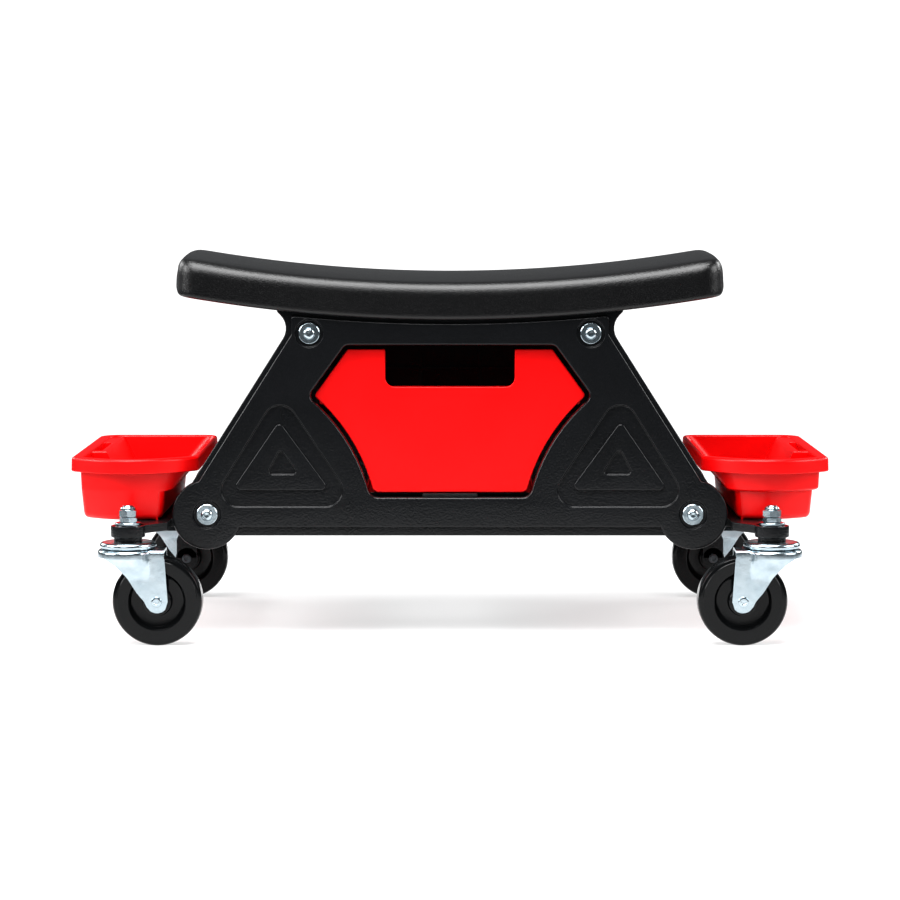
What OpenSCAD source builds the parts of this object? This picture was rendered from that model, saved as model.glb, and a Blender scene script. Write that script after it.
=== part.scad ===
// Rolling work seat: two moulded side panels carry a saddle cushion, a drawer and two trays on four casters.
// The origin is on the floor under the middle of the seat. +X runs along its length, and the drawer opens
// towards -Y, which is called the front here. All sizes are millimetres.

/* [Casters] */
// Diameter of a wheel over its tread
wheel_d = 76; // [72:1:80]
// Width of a wheel's tread
wheel_w = 22; // [18:1:26]
// Diameter of the dished recess in each face of a wheel
wheel_dish_d = 48; // [40:1:56]
// Depth of that recess
wheel_dish = 5; // [2:0.5:7]
// Diameter of a wheel's hub
hub_d = 24; // [18:1:30]
// How far a hub stands out past the tread on each side
hub_proud = 1.4; // [0.5:0.1:2]
// Diameter of the steel sleeve pressed into a hub
sleeve_d = 10; // [8:0.5:12]
// Diameter of the riveted axle
axle_d = 6; // [5:0.5:7]
// Diameter of the heads of an axle
axle_head_d = 8.8; // [8:0.2:11]
// Height of the heads of an axle
axle_head_h = 1.6; // [1:0.2:2.4]
// Running clearance of a sleeve round its axle and of a fork round its stem, on the radius
running_gap = 0.05; // [0.02:0.01:0.1]
// Gap between a hub and each leg of its fork
hub_gap = 0.3; // [0.2:0.1:0.6]
// How far a wheel's axle trails behind its swivel axis
trail = 25; // [22:1:28]
// Thickness of the pressed fork
fork_t = 2.5; // [2:0.1:3]
// Diameter of the round crown of a fork
crown_d = 52; // [48:1:56]
// Gap between the top of a wheel and the underside of its fork's crown
crown_gap = 3.5; // [3:0.5:6]
// How far the turned-down edge of a crown reaches below its top
crown_skirt = 6.5; // [4:0.5:8]
// How far a crown's flat tongue reaches from the swivel axis over the wheel
tongue = 31.5; // [30:0.5:33]
// Radius of the round foot of a fork leg
fork_foot_r = 9.5; // [8:0.5:11]
// Diameter of the swivel balls
ball_d = 4; // [3:0.5:4.5]
// Number of balls in each swivel
ball_count = 12; // [8:1:14]
// Diameter of the ring on which the balls run
ball_ring_d = 36; // [32:1:38]
// Outer diameter of the upper raceway
race_d = 48; // [44:1:52]
// Height from a crown's top to the top of its upper raceway
race_h = 6; // [5:0.5:8]
// Diameter of the threaded stem
stem_d = 9; // [8:0.5:10]
// Distance of the stems from the middle of the seat, along its length
stem_x = 273.5; // [270:1:280]
// Distance of the stems from the middle of the seat, across it
stem_y = 155; // [150:1:162]
// Width of the hexagon nuts across their flats
nut_flats = 14; // [13:0.5:15]
// Height of the lower, plain nut
nut_low_h = 4.5; // [3.5:0.5:6]
// Height of the upper lock nut
nut_lock_h = 8.4; // [7:0.2:10]
// Diameter of the washer on each stem
stem_washer_d = 22; // [19:1:24]
// Thickness of that washer
stem_washer_t = 2.4; // [1.6:0.2:3]
// How far the end of a stem stands out of its lock nut
stem_tip = 1.4; // [0.6:0.2:3]

/* [Brakes] */
// Width of a brake lever's arms
lever_w = 19; // [17:0.5:20]
// Thickness of a brake lever's arms
lever_t = 2.5; // [2:0.1:3]
// Height of the upright part of an arm above its axle
lever_rise = 22; // [18:1:24]
// Angle of the foot pad's nearest edge above its axle
pad_angle = 54; // [50:1:58]
// Gap between a wheel's tread and that edge
pad_gap = 1; // [0.8:0.1:2]
// Length of the foot pad
pad_l = 18; // [14:1:20]

/* [Caster beams] */
// Height of the round bush at the end of each arm
bush_h = 10; // [8:1:14]
// Diameter of that bush
bush_d = 29.4; // [26:0.2:32]
// Height of the collar under a bush
collar_h = 4; // [3:0.5:6]
// Diameter of that collar
collar_d = 24; // [20:0.5:26]
// Thickness of a beam's plate
beam_t = 7.2; // [6:0.2:9]
// Distance of a beam's inner edge from the middle of the seat
beam_in_x = 197; // [192:1:200]
// Distance of a beam's outer edge from the middle of the seat, between its arms
beam_out_x = 262; // [256:1:266]
// Height of the ribs under a beam's plate
beam_rib_h = 5; // [3:0.5:6]
// Thickness of those ribs
beam_rib_t = 3; // [2:0.5:4]
// Diameter of the cross tube that both side panels are bolted to
lower_tube_d = 24; // [20:1:26]

/* [Side panels] */
// Distance of a panel's outer face from the middle of the seat
panel_y = 118; // [116:1:122]
// Depth of a panel from its face to the edge of its walls
panel_depth = 14; // [12:0.5:16]
// How far the face stands out from the ears, the skirt and the edge band
face_step = 3; // [1.5:0.5:3.5]
// Thickness of the face wall
face_t = 4; // [3.6:0.2:5]
// Thickness of a panel's walls and ribs
panel_wall = 3; // [2:0.5:4]
// Distance of the upper bolts from the middle of the seat
upper_bolt_x = 120.8; // [118:0.2:122]
// Height of the upper bolts
upper_bolt_z = 263; // [262:0.5:264]
// Distance of the lower bolts from the middle of the seat
lower_bolt_x = 209.4; // [208:0.2:211]
// Height of the lower bolts
lower_bolt_z = 106.7; // [105:0.1:108]
// Radius of the round foot about a lower bolt
foot_r = 30; // [28:0.5:31]
// Radius of the pillar behind each bolt
pillar_r = 13; // [12:0.5:14]
// Radius of the counterbore about each bolt
counterbore_r = 12; // [10:0.5:12.5]
// Depth of those counterbores
counterbore = 2; // [1:0.5:2.5]
// Height of the bottom of a panel's skirt
skirt_z = 88.3; // [87:0.1:90]
// Height of the bottom of a panel's face
face_z = 95.7; // [94:0.1:97]
// Half length of a panel at its waist, under the ears
waist_x = 136.5; // [134:0.5:138]
// Height of that waist
waist_z = 269.5; // [267:0.5:271]
// Half length of a panel at the tips of its ears
ear_x = 152; // [148:0.5:156]
// Half length of a slanted leg where it meets the round foot
leg_x = 230; // [228:0.5:232]
// Height of that place
leg_z = 122; // [120:0.5:124]
// Width of the band that runs round the face
edge_band = 4; // [2:0.5:5]
// Depth of the nested triangles
triangle_step = 2; // [1:0.5:2]

/* [Window and drawer] */
// Height of the bottom of the window
window_z = 122.5; // [121:0.5:124]
// Height of the top of the window
window_top_z = 252; // [250:0.5:254]
// Half width of the window at its top
window_top_x = 89.5; // [86:0.5:94]
// Half width of the window at its widest
window_mid_x = 121; // [118:0.5:123]
// Height at which the window is widest
window_mid_z = 208.6; // [206:0.2:212]
// Half width of the window at its bottom
window_low_x = 68.2; // [66:0.2:72]
// How far the lower sides of the window bow inwards
window_bow = 8.2; // [6:0.2:10]
// Half width of the stop tab on the window's bottom edge
tab_x = 23.7; // [20:0.1:30]
// Height of that tab
tab_h = 2.2; // [1:0.1:2.4]
// Gap between the drawer and the window
drawer_gap = 2.7; // [2.4:0.1:3.5]
// How far the drawer's front lies behind a panel's face
drawer_setback = 8; // [5:0.5:9]
// Thickness of the drawer's walls
drawer_wall = 2.5; // [2:0.1:3]
// Height of the drawer's rim
drawer_rim_z = 204; // [198:0.5:206]
// Gap between the drawer's back and the back panel
drawer_back_gap = 4; // [2:0.5:8]
// Half width of the hand hold in the drawer's front
hold_x = 55.7; // [45:0.1:62]
// Height of the bottom of the hand hold
hold_z = 216.7; // [212:0.1:222]
// Corner radius of the hand hold
hold_r = 8; // [4:0.5:10]
// Thickness of the shelf that the drawer runs on
shelf_t = 3; // [2:0.5:4]
// Height of the shelf's side rails and of its end flanges
shelf_h = 22; // [18:1:24]
// Half width of the shelf
shelf_x = 79; // [77:0.5:84]
// Height of the rails that guide the drawer
guide_h = 5; // [3:0.5:6]

/* [Seat] */
// Length of the cushion
seat_l = 470; // [450:5:490]
// Width of the cushion
seat_w = 250; // [240:5:260]
// Thickness of the cushion at its edges
seat_t = 31; // [26:1:36]
// Height of the cushion's underside at the middle
seat_z = 276.7; // [276:0.1:278]
// How much higher the cushion's ends lie than its middle
seat_rise = 20.8; // [19:0.2:22]
// How much the top swells above its edges
seat_crown = 3; // [1:0.5:5]
// How much the long sides draw in at the middle
seat_draw = 2; // [1:0.5:4]
// Corner radius of the cushion seen from above
seat_corner_r = 26; // [18:1:34]
// Radius of the cushion's top edges
seat_edge_r = 13; // [10:1:14]
// Radius of the cushion's bottom edges
seat_hem_r = 4; // [2:0.5:6]
// Length of the seat board
board_l = 444; // [430:2:448]
// Thickness of the seat board
board_t = 6; // [5:0.5:8]
// Distance of the inner edge of a seat bracket from the middle
bracket_in_x = 72; // [68:1:76]
// Distance of the outer edge of a seat bracket from the middle
bracket_out_x = 134; // [133:0.5:136]
// Height of the underside of a seat bracket's flange
bracket_z = 268; // [266:0.5:269]
// Diameter of the cross tube of a seat bracket
upper_tube_d = 22; // [18:1:24]

/* [Fasteners] */
// Diameter of the panel screws' shanks
screw_d = 6; // [5:0.5:7]
// Diameter of the panel screws' heads
screw_head_d = 10.5; // [9:0.5:12]
// Height of the panel screws' heads
screw_head_h = 3.3; // [2:0.1:4]
// Width of the hexagon socket in a head, across its flats
socket_flats = 4; // [3:0.5:5]
// Depth of that socket
socket_depth = 2; // [1:0.1:2]
// Length of the panel screws under their heads
screw_l = 35; // [30:1:40]
// Diameter of the panel washers
panel_washer_d = 18; // [15:0.5:20]
// Thickness of the panel washers
panel_washer_t = 1.6; // [1:0.1:2]
// Diameter of the threaded inserts
insert_d = 10; // [9:0.5:11]
// Length of the threaded inserts
insert_l = 16; // [12:1:20]
// Diameter of the small screws' shanks
small_screw_d = 4; // [3:0.5:5]
// Diameter of the small screws' heads
small_head_d = 8; // [7:0.5:9]
// Height of the small screws' heads
small_head_h = 2.4; // [1.5:0.1:3]

/* [Trays] */
// Distance of a tray's rim from the middle of the seat, inner side
rim_in_x = 217.5; // [217:0.5:219]
// Distance of a tray's rim from the middle of the seat, outer side
rim_out_x = 328; // [324:0.5:332]
// Half width of a tray's rim at its inner corners
rim_in_y = 97; // [94:0.5:98]
// Half width of a tray's rim at its outer corners
rim_out_y = 104; // [100:0.5:108]
// How far a tray's front and back bow out between their corners
rim_bow = 32; // [26:0.5:34]
// Distance of a tray's straight back edge from the middle, across the seat
rim_back_y = 136.5; // [132:0.5:140]
// Radius of the corners at that edge
rim_back_r = 20; // [16:1:24]
// Height of the top of a tray's rim
rim_z = 155.5; // [154:0.5:158]
// Height of the turned-down lip of the rim
lip_h = 12.5; // [9:0.5:14]
// How far the lip stands out from the tray's body
lip_out = 7.5; // [6:0.5:9]
// Thickness of a tray's walls
tray_wall = 2.6; // [2:0.1:3.2]
// Thickness of a tray's floor
tray_floor = 3; // [2.4:0.1:4]
// Distance of a tray's inner wall from the middle of the seat, above its step
tray_in_x = 237; // [236:0.5:239]
// Distance of a tray's inner wall from the middle of the seat, below its step
tray_step_x = 245; // [243:0.5:248]
// Height of that step
tray_step_z = 126.6; // [126:0.1:130]
// How much a tray's outer sides lean in from top to bottom
tray_draft = 3; // [1:0.5:5]
// Distance of the tool block's front face from the middle of the seat
block_y = 28; // [20:1:40]
// Width of the tool block's top, from its ridge to the tray's outer side
block_w = 15; // [12:0.5:18]
// Depth of the tool block's top below the rim's top
block_drop = 1.5; // [1:0.5:3]
// How far the tool block's inner side slopes into the bin
block_slope = 26; // [16:1:28]
// Length of the slot in the tool block
slot_l = 86; // [50:1:88]
// Distance of the slot from the tool block's front face
slot_in = 5; // [3:1:12]
// Width of the slot in the tool block
slot_w = 8; // [6:0.5:9]
// Depth of that slot
slot_depth = 14; // [8:0.5:18]
// How far the right tray's lower body lies inside its upper body, on its outer side
tray_out_step = 5; // [3:0.5:6]
// Gap between a tray's floor and the beam that it rests on
tray_gap = 0.3; // [0.2:0.1:0.6]

/* [Hidden] */

// Facets of a full circle
$fn = 64;
// Steps of a rounded corner, of a bowed side and of the seat's long curve
corner_steps = 5;
bow_steps = 8;
curve_steps = 12;
// How far a cut runs past the solid that it cuts
overrun = 1;
// How far joined solids run into each other
lap = 0.4;
// Gap between fixed pieces that lie on each other
seat_gap = 0.2;

black_plastic = "#17181a";
black_vinyl = "#1b1b1d";
red_plastic = "#d8141a";
zinc = "#c3c9cf";
dark_steel = "#5a5d61";
plywood = "#8a6f4e";
brass = "#b08d45";

// Heights in the stack of a caster, from the floor up
axle_z = wheel_d / 2;
crown_top = wheel_d + crown_gap + fork_t;
race_top = crown_top + race_h;
bush_z = race_top + collar_h;
beam_top = bush_z + bush_h;
nut_z = beam_top + stem_washer_t;
lock_z = nut_z + nut_low_h + seat_gap;
stem_top = lock_z + nut_lock_h + stem_tip;
ball_z = crown_top + ball_d * 0.4;
groove_r = ball_d / 2 + running_gap * 2;

// A fork's legs, measured from the middle of its wheel
hub_half = wheel_w / 2 + hub_proud;
leg_in = hub_half + hub_gap;
leg_out = leg_in + fork_t;
lever_in = leg_out + hub_gap;
lever_out = lever_in + lever_t;
pad_x = trail + (wheel_d / 2 + pad_gap) * cos(pad_angle);
pad_z = axle_z + (wheel_d / 2 + pad_gap) * sin(pad_angle);
pin_head_d = stem_d + fork_t * 2;
pin_play = 0.3;

// Panel walls
panel_in = panel_y - panel_depth;
face_back = panel_y - face_t;
hub_bolts = [[upper_bolt_x, upper_bolt_z], [lower_bolt_x, lower_bolt_z]];
washer_y = panel_y - counterbore;
waist_r = 16;
ear_r = 2;
face_corner_r = 3;
face_foot_x = lower_bolt_x - foot_r * 0.78;
window_r = 5;
window_top_r = 3;

// Centres of the nested triangles, from the bolt of the round foot: two low corners and the apex
tri_out = [[-27, 21.3], [-102.3, 21.3], [-63.3, 80.2]];
tri_out_r = 14.6;
tri_mid = [[-28.9, 25], [-98.6, 25], [-62.6, 74.3]];
tri_mid_r = 4;
tri_in = [[-56.5, 37.8], [-73.9, 37.8], [-63.8, 52.1]];
tri_in_r = 3;

// Places of the panel's upright inner ribs along its length, as shares of the waist, and of the level ones
rib_shares = [0.2, 0.55, 0.9, 1.22];
rib_levels = [132, 176, 220];

// The shelf's screws and flanges
shelf_top = window_z + drawer_gap - pin_play;
shelf_screw_x = shelf_x - shelf_h * 0.5;
shelf_screw_z = shelf_top - shelf_h * 0.6;
shelf_pillar_r = 6;
shelf_screw_l = 9;

// Seat board and screws
board_w = panel_in * 2 - seat_gap * 4;
seat_screw_in = 10;
seat_screw_y_share = 0.65;
seat_screws_x = [bracket_in_x + seat_screw_in, upper_bolt_x - upper_tube_d];
seat_screw_bite = 4;
tube_fillet = 4;

// Tray
tray_z = beam_top + tray_gap;
tray_low_z = rim_z - lip_h;
rim_corner_r = 14;
body_corner_r = 10;
rim_flange = 2.6;
tray_shoulder = 2;
tray_mouth_x = rim_in_x + rim_flange * 0.4;

function unit(v) = v / norm(v);
function inward(v) = [-v[1], v[0]];
function spot(p) = [p[0], p[1]];

// The height of the cushion's underside at a distance x along the seat
function under_seat(x) = seat_z + seat_rise * pow(x * 2 / seat_l, 2);

// Points of a bowed side between two corners, its ends left out
function bowed(a, b, bow) = [
    for (k = [1:bow_steps - 1])
        let (t = k / bow_steps, p = a + (b - a) * t + inward(unit(b - a)) * bow * 4 * t * (1 - t))
            [p[0], p[1], 0]
];

// A symmetric outline from its right half, whose corners are [x, z, radius], counter-clockwise
function mirrored(half) = concat(half,
    [for (i = [len(half) - 1:-1:0]) if (half[i][0] != 0) [-half[i][0], half[i][1], half[i][2]]]);

// An outline whose sides are moved inwards by d, with its corner radii made to follow
function inset(p, d) = [
    for (i = [0:len(p) - 1])
        let (a = spot(p[(i + len(p) - 1) % len(p)]), b = spot(p[i]), c = spot(p[(i + 1) % len(p)]),
             m = inward(unit(b - a)), n = inward(unit(c - b)), q = b + (m + n) * d / (1 + m * n),
             turn = sign(m * (c - b)))
            [q[0], q[1], p[i][2] == 0 ? 0 : max(p[i][2] - turn * d, 0)]
];

// The points of an outline with its corners rounded
function rounded(p) = [
    for (i = [0:len(p) - 1])
        let (a = spot(p[(i + len(p) - 1) % len(p)]), b = spot(p[i]), c = spot(p[(i + 1) % len(p)]), r = p[i][2],
             u = unit(a - b), v = unit(c - b), half = acos(u * v) / 2,
             centre = b + unit(u + v) * r / sin(half), from = b + u * r / tan(half), to = b + v * r / tan(half),
             first = atan2(from[1] - centre[1], from[0] - centre[0]),
             raw = atan2(to[1] - centre[1], to[0] - centre[0]) - first,
             sweep = raw > 180 ? raw - 360 : raw < -180 ? raw + 360 : raw)
            each r == 0 ? [b] : [for (k = [0:corner_steps])
                centre + r * [cos(first + sweep * k / corner_steps), sin(first + sweep * k / corner_steps)]]
];

// A solid through a stack of outlines with equally many points, from the lowest to the highest
module loft(rings, heights) {
    n = len(rings[0]);
    last = len(rings) - 1;
    polyhedron(
        points = [for (k = [0:last]) for (p = rings[k]) [p[0], p[1], heights[k]]],
        faces = concat(
            [[for (i = [0:n - 1]) i]],
            [for (k = [0:last - 1]) for (i = [0:n - 1])
                each [[k * n + i, (k + 1) * n + i, (k + 1) * n + (i + 1) % n],
                      [k * n + i, (k + 1) * n + (i + 1) % n, k * n + (i + 1) % n]]],
            [[for (i = [n - 1:-1:0]) last * n + i]]
        ),
        convexity = 6
    );
}

// An outline drawn in X and Z, made solid from y0 to y1
module across(y0, y1) translate([0, y1, 0]) rotate([90, 0, 0]) linear_extrude(height = y1 - y0) children();

// A round bar along Y at [x, z]
module bar(at, r, y0, y1) translate([at[0], y0, at[1]]) rotate([-90, 0, 0]) cylinder(h = y1 - y0, r = r);

// The same thing at both ends of the seat's length
module both_sides() {
    children();
    mirror([1, 0, 0]) children();
}

// The same thing at the front and at the back
module front_and_back() {
    children();
    mirror([0, 1, 0]) children();
}

// Outlines of the side panel, in X and Z
base_outline = mirrored(concat(
    [[face_foot_x, skirt_z, 0], [leg_x, leg_z, 0], [waist_x, waist_z, waist_r],
     [ear_x, under_seat(ear_x) - seat_gap * 2, ear_r]],
    [for (k = [curve_steps - 1:-1:0]) let (x = ear_x * k / curve_steps)
        [x, under_seat(x) - seat_gap * 2, 0]]
));
leg_way = unit([leg_x - waist_x, leg_z - waist_z]);
face_side_x = waist_x;
face_leg_x = leg_x - edge_band / abs(leg_way[1]);
face_waist_z = waist_z + (waist_x - face_side_x) - edge_band / abs(leg_way[0]);
face_drop = 5;
face_outline = mirrored(concat(
    [[face_foot_x, face_z, 0], [face_leg_x, leg_z, 0], [face_side_x, face_waist_z, face_corner_r],
     [face_side_x, under_seat(face_side_x) - face_drop, face_corner_r]],
    [for (k = [curve_steps - 1:-1:0]) let (x = face_side_x * k / curve_steps)
        [x, under_seat(x) - face_drop, 0]]
));
window_outline = mirrored(concat(
    [[window_low_x, window_z, window_r]],
    bowed([window_low_x, window_z], [window_mid_x, window_mid_z], window_bow),
    [[window_mid_x, window_mid_z, window_r], [window_top_x, window_top_z, window_top_r]]
));

// One nested triangle, from the centres of its corners
module triangle(centres, r, y0, y1)
    across(y0, y1)
        polygon(rounded([for (p = inset([for (c = centres) [lower_bolt_x + c[0], lower_bolt_z + c[1], 0]], r))
            [p[0], p[1], r]]));

// A moulded side panel facing the front: its walls and ribs show from behind, and its window may be closed
module side_panel(open) {
    difference() {
        union() {
            across(-panel_y + face_step, -panel_in) polygon(rounded(base_outline));
            across(-panel_y, -face_back) polygon(rounded(face_outline));
            both_sides() bar([lower_bolt_x, lower_bolt_z], foot_r, -panel_y, -panel_in);
        }
        panel_hollow(open);
        across(-panel_y - overrun, open ? -panel_in + overrun : -panel_y + triangle_step)
            polygon(rounded(window_outline));
        both_sides() {
            difference() {
                triangle(tri_out, -tri_out_r, -panel_y - overrun, -panel_y + triangle_step);
                triangle(tri_mid, -tri_mid_r, -panel_y - overrun * 2, -panel_y + triangle_step + overrun);
            }
            triangle(tri_in, -tri_in_r, -panel_y - overrun, -panel_y + triangle_step);
            for (bolt = hub_bolts) {
                bar(bolt, counterbore_r, -panel_y - overrun, -washer_y);
                bar(bolt, screw_d / 2 + seat_gap, -panel_y - overrun, -panel_in + overrun);
            }
            bar([shelf_screw_x, shelf_screw_z], small_screw_d / 2 + seat_gap, -face_back + panel_wall,
                -panel_in + overrun);
        }
    }
    if (open)
        translate([-tab_x, -panel_y + face_step, window_z - lap])
            cube([tab_x * 2, panel_depth - face_step, tab_h + lap]);
}

// The open space behind a panel's face, which leaves walls, pillars and ribs standing
module panel_hollow(open) {
    difference() {
        across(-face_back, -panel_in + overrun) polygon(rounded(inset(face_outline, panel_wall)));
        across(-face_back - overrun, -panel_in + overrun * 2) {
            if (open)
                polygon(rounded(inset(window_outline, -panel_wall)));
            for (share = rib_shares, side = [-1, 1])
                translate([waist_x * share * side - panel_wall / 2, skirt_z])
                    square([panel_wall, under_seat(0) - skirt_z]);
            for (level = rib_levels)
                translate([-lower_bolt_x, level - panel_wall / 2])
                    square([lower_bolt_x * 2, panel_wall]);
        }
        both_sides() {
            for (bolt = hub_bolts)
                bar(bolt, pillar_r, -face_back - overrun, -panel_in + overrun * 2);
            bar([shelf_screw_x, shelf_screw_z], shelf_pillar_r, -face_back - overrun, -panel_in + overrun * 2);
            bar([lower_bolt_x, lower_bolt_z], foot_r, -face_back - overrun, -panel_in + overrun * 2);
        }
    }
    both_sides()
        difference() {
            bar([lower_bolt_x, lower_bolt_z], foot_r - panel_wall, -face_back, -panel_in + overrun);
            bar([lower_bolt_x, lower_bolt_z], pillar_r, -face_back - overrun, -panel_in + overrun * 2);
            translate([lower_bolt_x - foot_r, -panel_y, lower_bolt_z - panel_wall / 2])
                cube([foot_r * 2, panel_depth + overrun * 2, panel_wall]);
        }
}

module side_panel_front() color(black_plastic) side_panel(true);
module side_panel_back() color(black_plastic) rotate([0, 0, 180]) side_panel(false);

// A beam of one end: its plate, two arms with their bushes, the cross tube and the ribs under the plate
module caster_beam() {
    arm_in_x = lower_bolt_x + foot_r + seat_gap * 10;
    difference() {
        union() {
            translate([0, 0, beam_top - beam_t]) linear_extrude(height = beam_t) polygon(rounded([
                [beam_in_x, -panel_in + overrun, 0], [arm_in_x, -panel_in + overrun, 0],
                [arm_in_x, -panel_y - bush_d / 2, window_r], [stem_x - bush_d * 0.4, -stem_y - bush_d * 0.1, 0],
                [stem_x, -stem_y, 0], [stem_x + bush_d * 0.45, -stem_y, 0],
                [beam_out_x, -panel_in + bush_d, foot_r],
                [beam_out_x, panel_in - bush_d, foot_r],
                [stem_x + bush_d * 0.45, stem_y, 0], [stem_x, stem_y, 0],
                [stem_x - bush_d * 0.4, stem_y + bush_d * 0.1, 0], [arm_in_x, panel_y + bush_d / 2, window_r],
                [arm_in_x, panel_in - overrun, 0], [beam_in_x, panel_in - overrun, 0]
            ]));
            bar([lower_bolt_x, lower_bolt_z], lower_tube_d / 2, -panel_in, panel_in);
            front_and_back() {
                translate([stem_x, stem_y, bush_z]) cylinder(h = bush_h, d = bush_d);
                translate([stem_x, stem_y, race_top + seat_gap]) cylinder(h = collar_h, d = collar_d);
            }
            for (share = [-0.8, -0.4, 0, 0.4, 0.8])
                translate([beam_in_x, panel_in * share - beam_rib_t / 2, beam_top - beam_t - beam_rib_h])
                    cube([beam_out_x - beam_in_x - beam_rib_t, beam_rib_t, beam_rib_h + lap]);
            translate([beam_out_x - beam_rib_t * 2, -panel_in * 0.8, beam_top - beam_t - beam_rib_h])
                cube([beam_rib_t, panel_in * 1.6, beam_rib_h + lap]);
        }
        front_and_back() {
            translate([stem_x, stem_y, race_top - overrun])
                cylinder(h = beam_top - race_top + overrun * 2, d = stem_d + seat_gap * 2);
            bar([lower_bolt_x, lower_bolt_z], insert_d / 2, panel_in - insert_l, panel_in + overrun);
            bar([lower_bolt_x, lower_bolt_z], screw_d / 2 + seat_gap, washer_y - screw_l - overrun, panel_in);
        }
    }
}

module caster_beam_left() color(black_plastic) mirror([1, 0, 0]) caster_beam();
module caster_beam_right() color(black_plastic) caster_beam();

// A seat bracket: the cross tube between the panels' tops, with the flange that carries the seat board
module seat_bracket() {
    flange = concat(
        [[bracket_in_x, bracket_z], [bracket_out_x, bracket_z]],
        [for (k = [bow_steps:-1:0]) let (x = bracket_in_x + (bracket_out_x - bracket_in_x) * k / bow_steps)
            [x, under_seat(x) - seat_gap]]
    );
    difference() {
        union() {
            across(-panel_in, panel_in) polygon(flange);
            bar([upper_bolt_x, upper_bolt_z], upper_tube_d / 2, -panel_in, panel_in);
        }
        front_and_back() {
            bar([upper_bolt_x, upper_bolt_z], insert_d / 2, panel_in - insert_l, panel_in + overrun);
            bar([upper_bolt_x, upper_bolt_z], screw_d / 2 + seat_gap, washer_y - screw_l - overrun, panel_in);
            for (x = seat_screws_x)
                translate([x, panel_in * seat_screw_y_share, bracket_z - overrun])
                    cylinder(h = seat_t, d = small_screw_d + seat_gap * 2);
        }
    }
}

module seat_bracket_left() color(black_plastic) mirror([1, 0, 0]) seat_bracket();
module seat_bracket_right() color(black_plastic) seat_bracket();

// The shelf that the drawer runs on: a plate with guides above, side walls and end flanges below
module drawer_shelf() color(black_plastic) difference() {
    union() {
        translate([-shelf_x, -panel_in, shelf_top - shelf_t]) cube([shelf_x * 2, panel_in * 2, shelf_t]);
        both_sides() {
            translate([shelf_x - panel_wall, -panel_in, shelf_top - shelf_h])
                cube([panel_wall, panel_in * 2, shelf_h]);
            translate([window_low_x + drawer_gap, -panel_in, shelf_top - lap])
                cube([panel_wall, panel_in * 2, guide_h + lap]);
        }
        front_and_back() translate([-shelf_x, panel_in - panel_wall, shelf_top - shelf_h])
            cube([shelf_x * 2, panel_wall, shelf_h]);
    }
    both_sides() front_and_back()
        bar([shelf_screw_x, shelf_screw_z], small_screw_d / 2 + seat_gap, panel_in - panel_wall - overrun,
            panel_in + overrun);
}

// A strip that follows the cushion's curve, from low to high above its underside
module curved_strip(l, w, low, high) across(-w / 2, w / 2) polygon(concat(
    [for (k = [-curve_steps:curve_steps]) let (x = l / 2 * k / curve_steps) [x, under_seat(x) + low]],
    [for (k = [curve_steps:-1:-curve_steps]) let (x = l / 2 * k / curve_steps) [x, under_seat(x) + high]]
));

// The curved board, let into the cushion's underside
module seat_board() color(plywood) difference() {
    curved_strip(board_l, board_w, 0, board_t - seat_gap);
    at_seat_screws() translate([0, 0, -overrun])
        cylinder(h = seat_screw_bite + overrun + running_gap, d = small_screw_d + running_gap * 2);
}

// The places of the seat screws at the board, with how far each is from the bracket below as $rise
module at_seat_screws() both_sides() front_and_back()
    for (x = seat_screws_x) {
        $rise = under_seat(x) - bracket_z;
        translate([x, panel_in * seat_screw_y_share, under_seat(x)]) children();
    }

// The cushion's section at x, as [y, z] points from the middle of its underside round to the middle again
function seat_half(x) =
    let (past = max(abs(x) - (seat_l / 2 - seat_corner_r), 0), edge = max(abs(x) - (seat_l / 2 - seat_edge_r), 0),
         w = seat_w / 2 - seat_draw * (1 - pow(x * 2 / seat_l, 2)) - seat_corner_r
             + sqrt(max(pow(seat_corner_r, 2) - pow(past, 2), 0)),
         h = seat_t - seat_edge_r + sqrt(max(pow(seat_edge_r, 2) - pow(edge, 2), 0)),
         top_w = w - seat_edge_r)
    concat(
        [[w - seat_hem_r, 0]],
        [for (a = [30, 60, 90]) [w - seat_hem_r + seat_hem_r * sin(a), seat_hem_r - seat_hem_r * cos(a)]],
        [for (a = [0, 22.5, 45, 67.5, 90]) [top_w + seat_edge_r * cos(a), h - seat_edge_r + seat_edge_r * sin(a)]],
        [for (t = [0.8, 0.55, 0.3]) [top_w * t, h + seat_crown * (1 - t * t) * (h / seat_t)]]
    );
function seat_section(x) =
    let (half = seat_half(x))
    [for (p = concat(half, [for (i = [len(half) - 1:-1:0]) [-half[i][0], half[i][1]]]))
        [x, p[0], under_seat(x) + p[1]]];

// Stations along the cushion: even along its middle, and closer round its ends
seat_stations = concat(
    [for (a = [90, 70, 50, 30]) -seat_l / 2 + seat_corner_r - seat_corner_r * sin(a)],
    [for (k = [-curve_steps:curve_steps]) (seat_l / 2 - seat_corner_r) * k / curve_steps],
    [for (a = [30, 50, 70, 90]) seat_l / 2 - seat_corner_r + seat_corner_r * sin(a)]
);

// The cushion: foam under vinyl, crowned on top, with its long sides drawn in and its ends rounded
module seat_cushion() color(black_vinyl) difference() {
    cushion_form();
    curved_strip(board_l + seat_gap * 2, board_w + seat_gap * 2, -overrun, board_t);
}

module cushion_form() {
    rings = [for (x = seat_stations) seat_section(x)];
    n = len(rings[0]);
    last = len(rings) - 1;
    polyhedron(
        points = [for (ring = rings) each ring],
        faces = concat(
            [for (i = [1:n - 2]) [0, i, i + 1]],
            [for (k = [0:last - 1]) for (i = [0:n - 1])
                each [[k * n + i, (k + 1) * n + i, (k + 1) * n + (i + 1) % n],
                      [k * n + i, (k + 1) * n + (i + 1) % n, k * n + (i + 1) % n]]],
            [for (i = [1:n - 2]) [last * n, last * n + i + 1, last * n + i]]
        ),
        convexity = 4
    );
}

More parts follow.
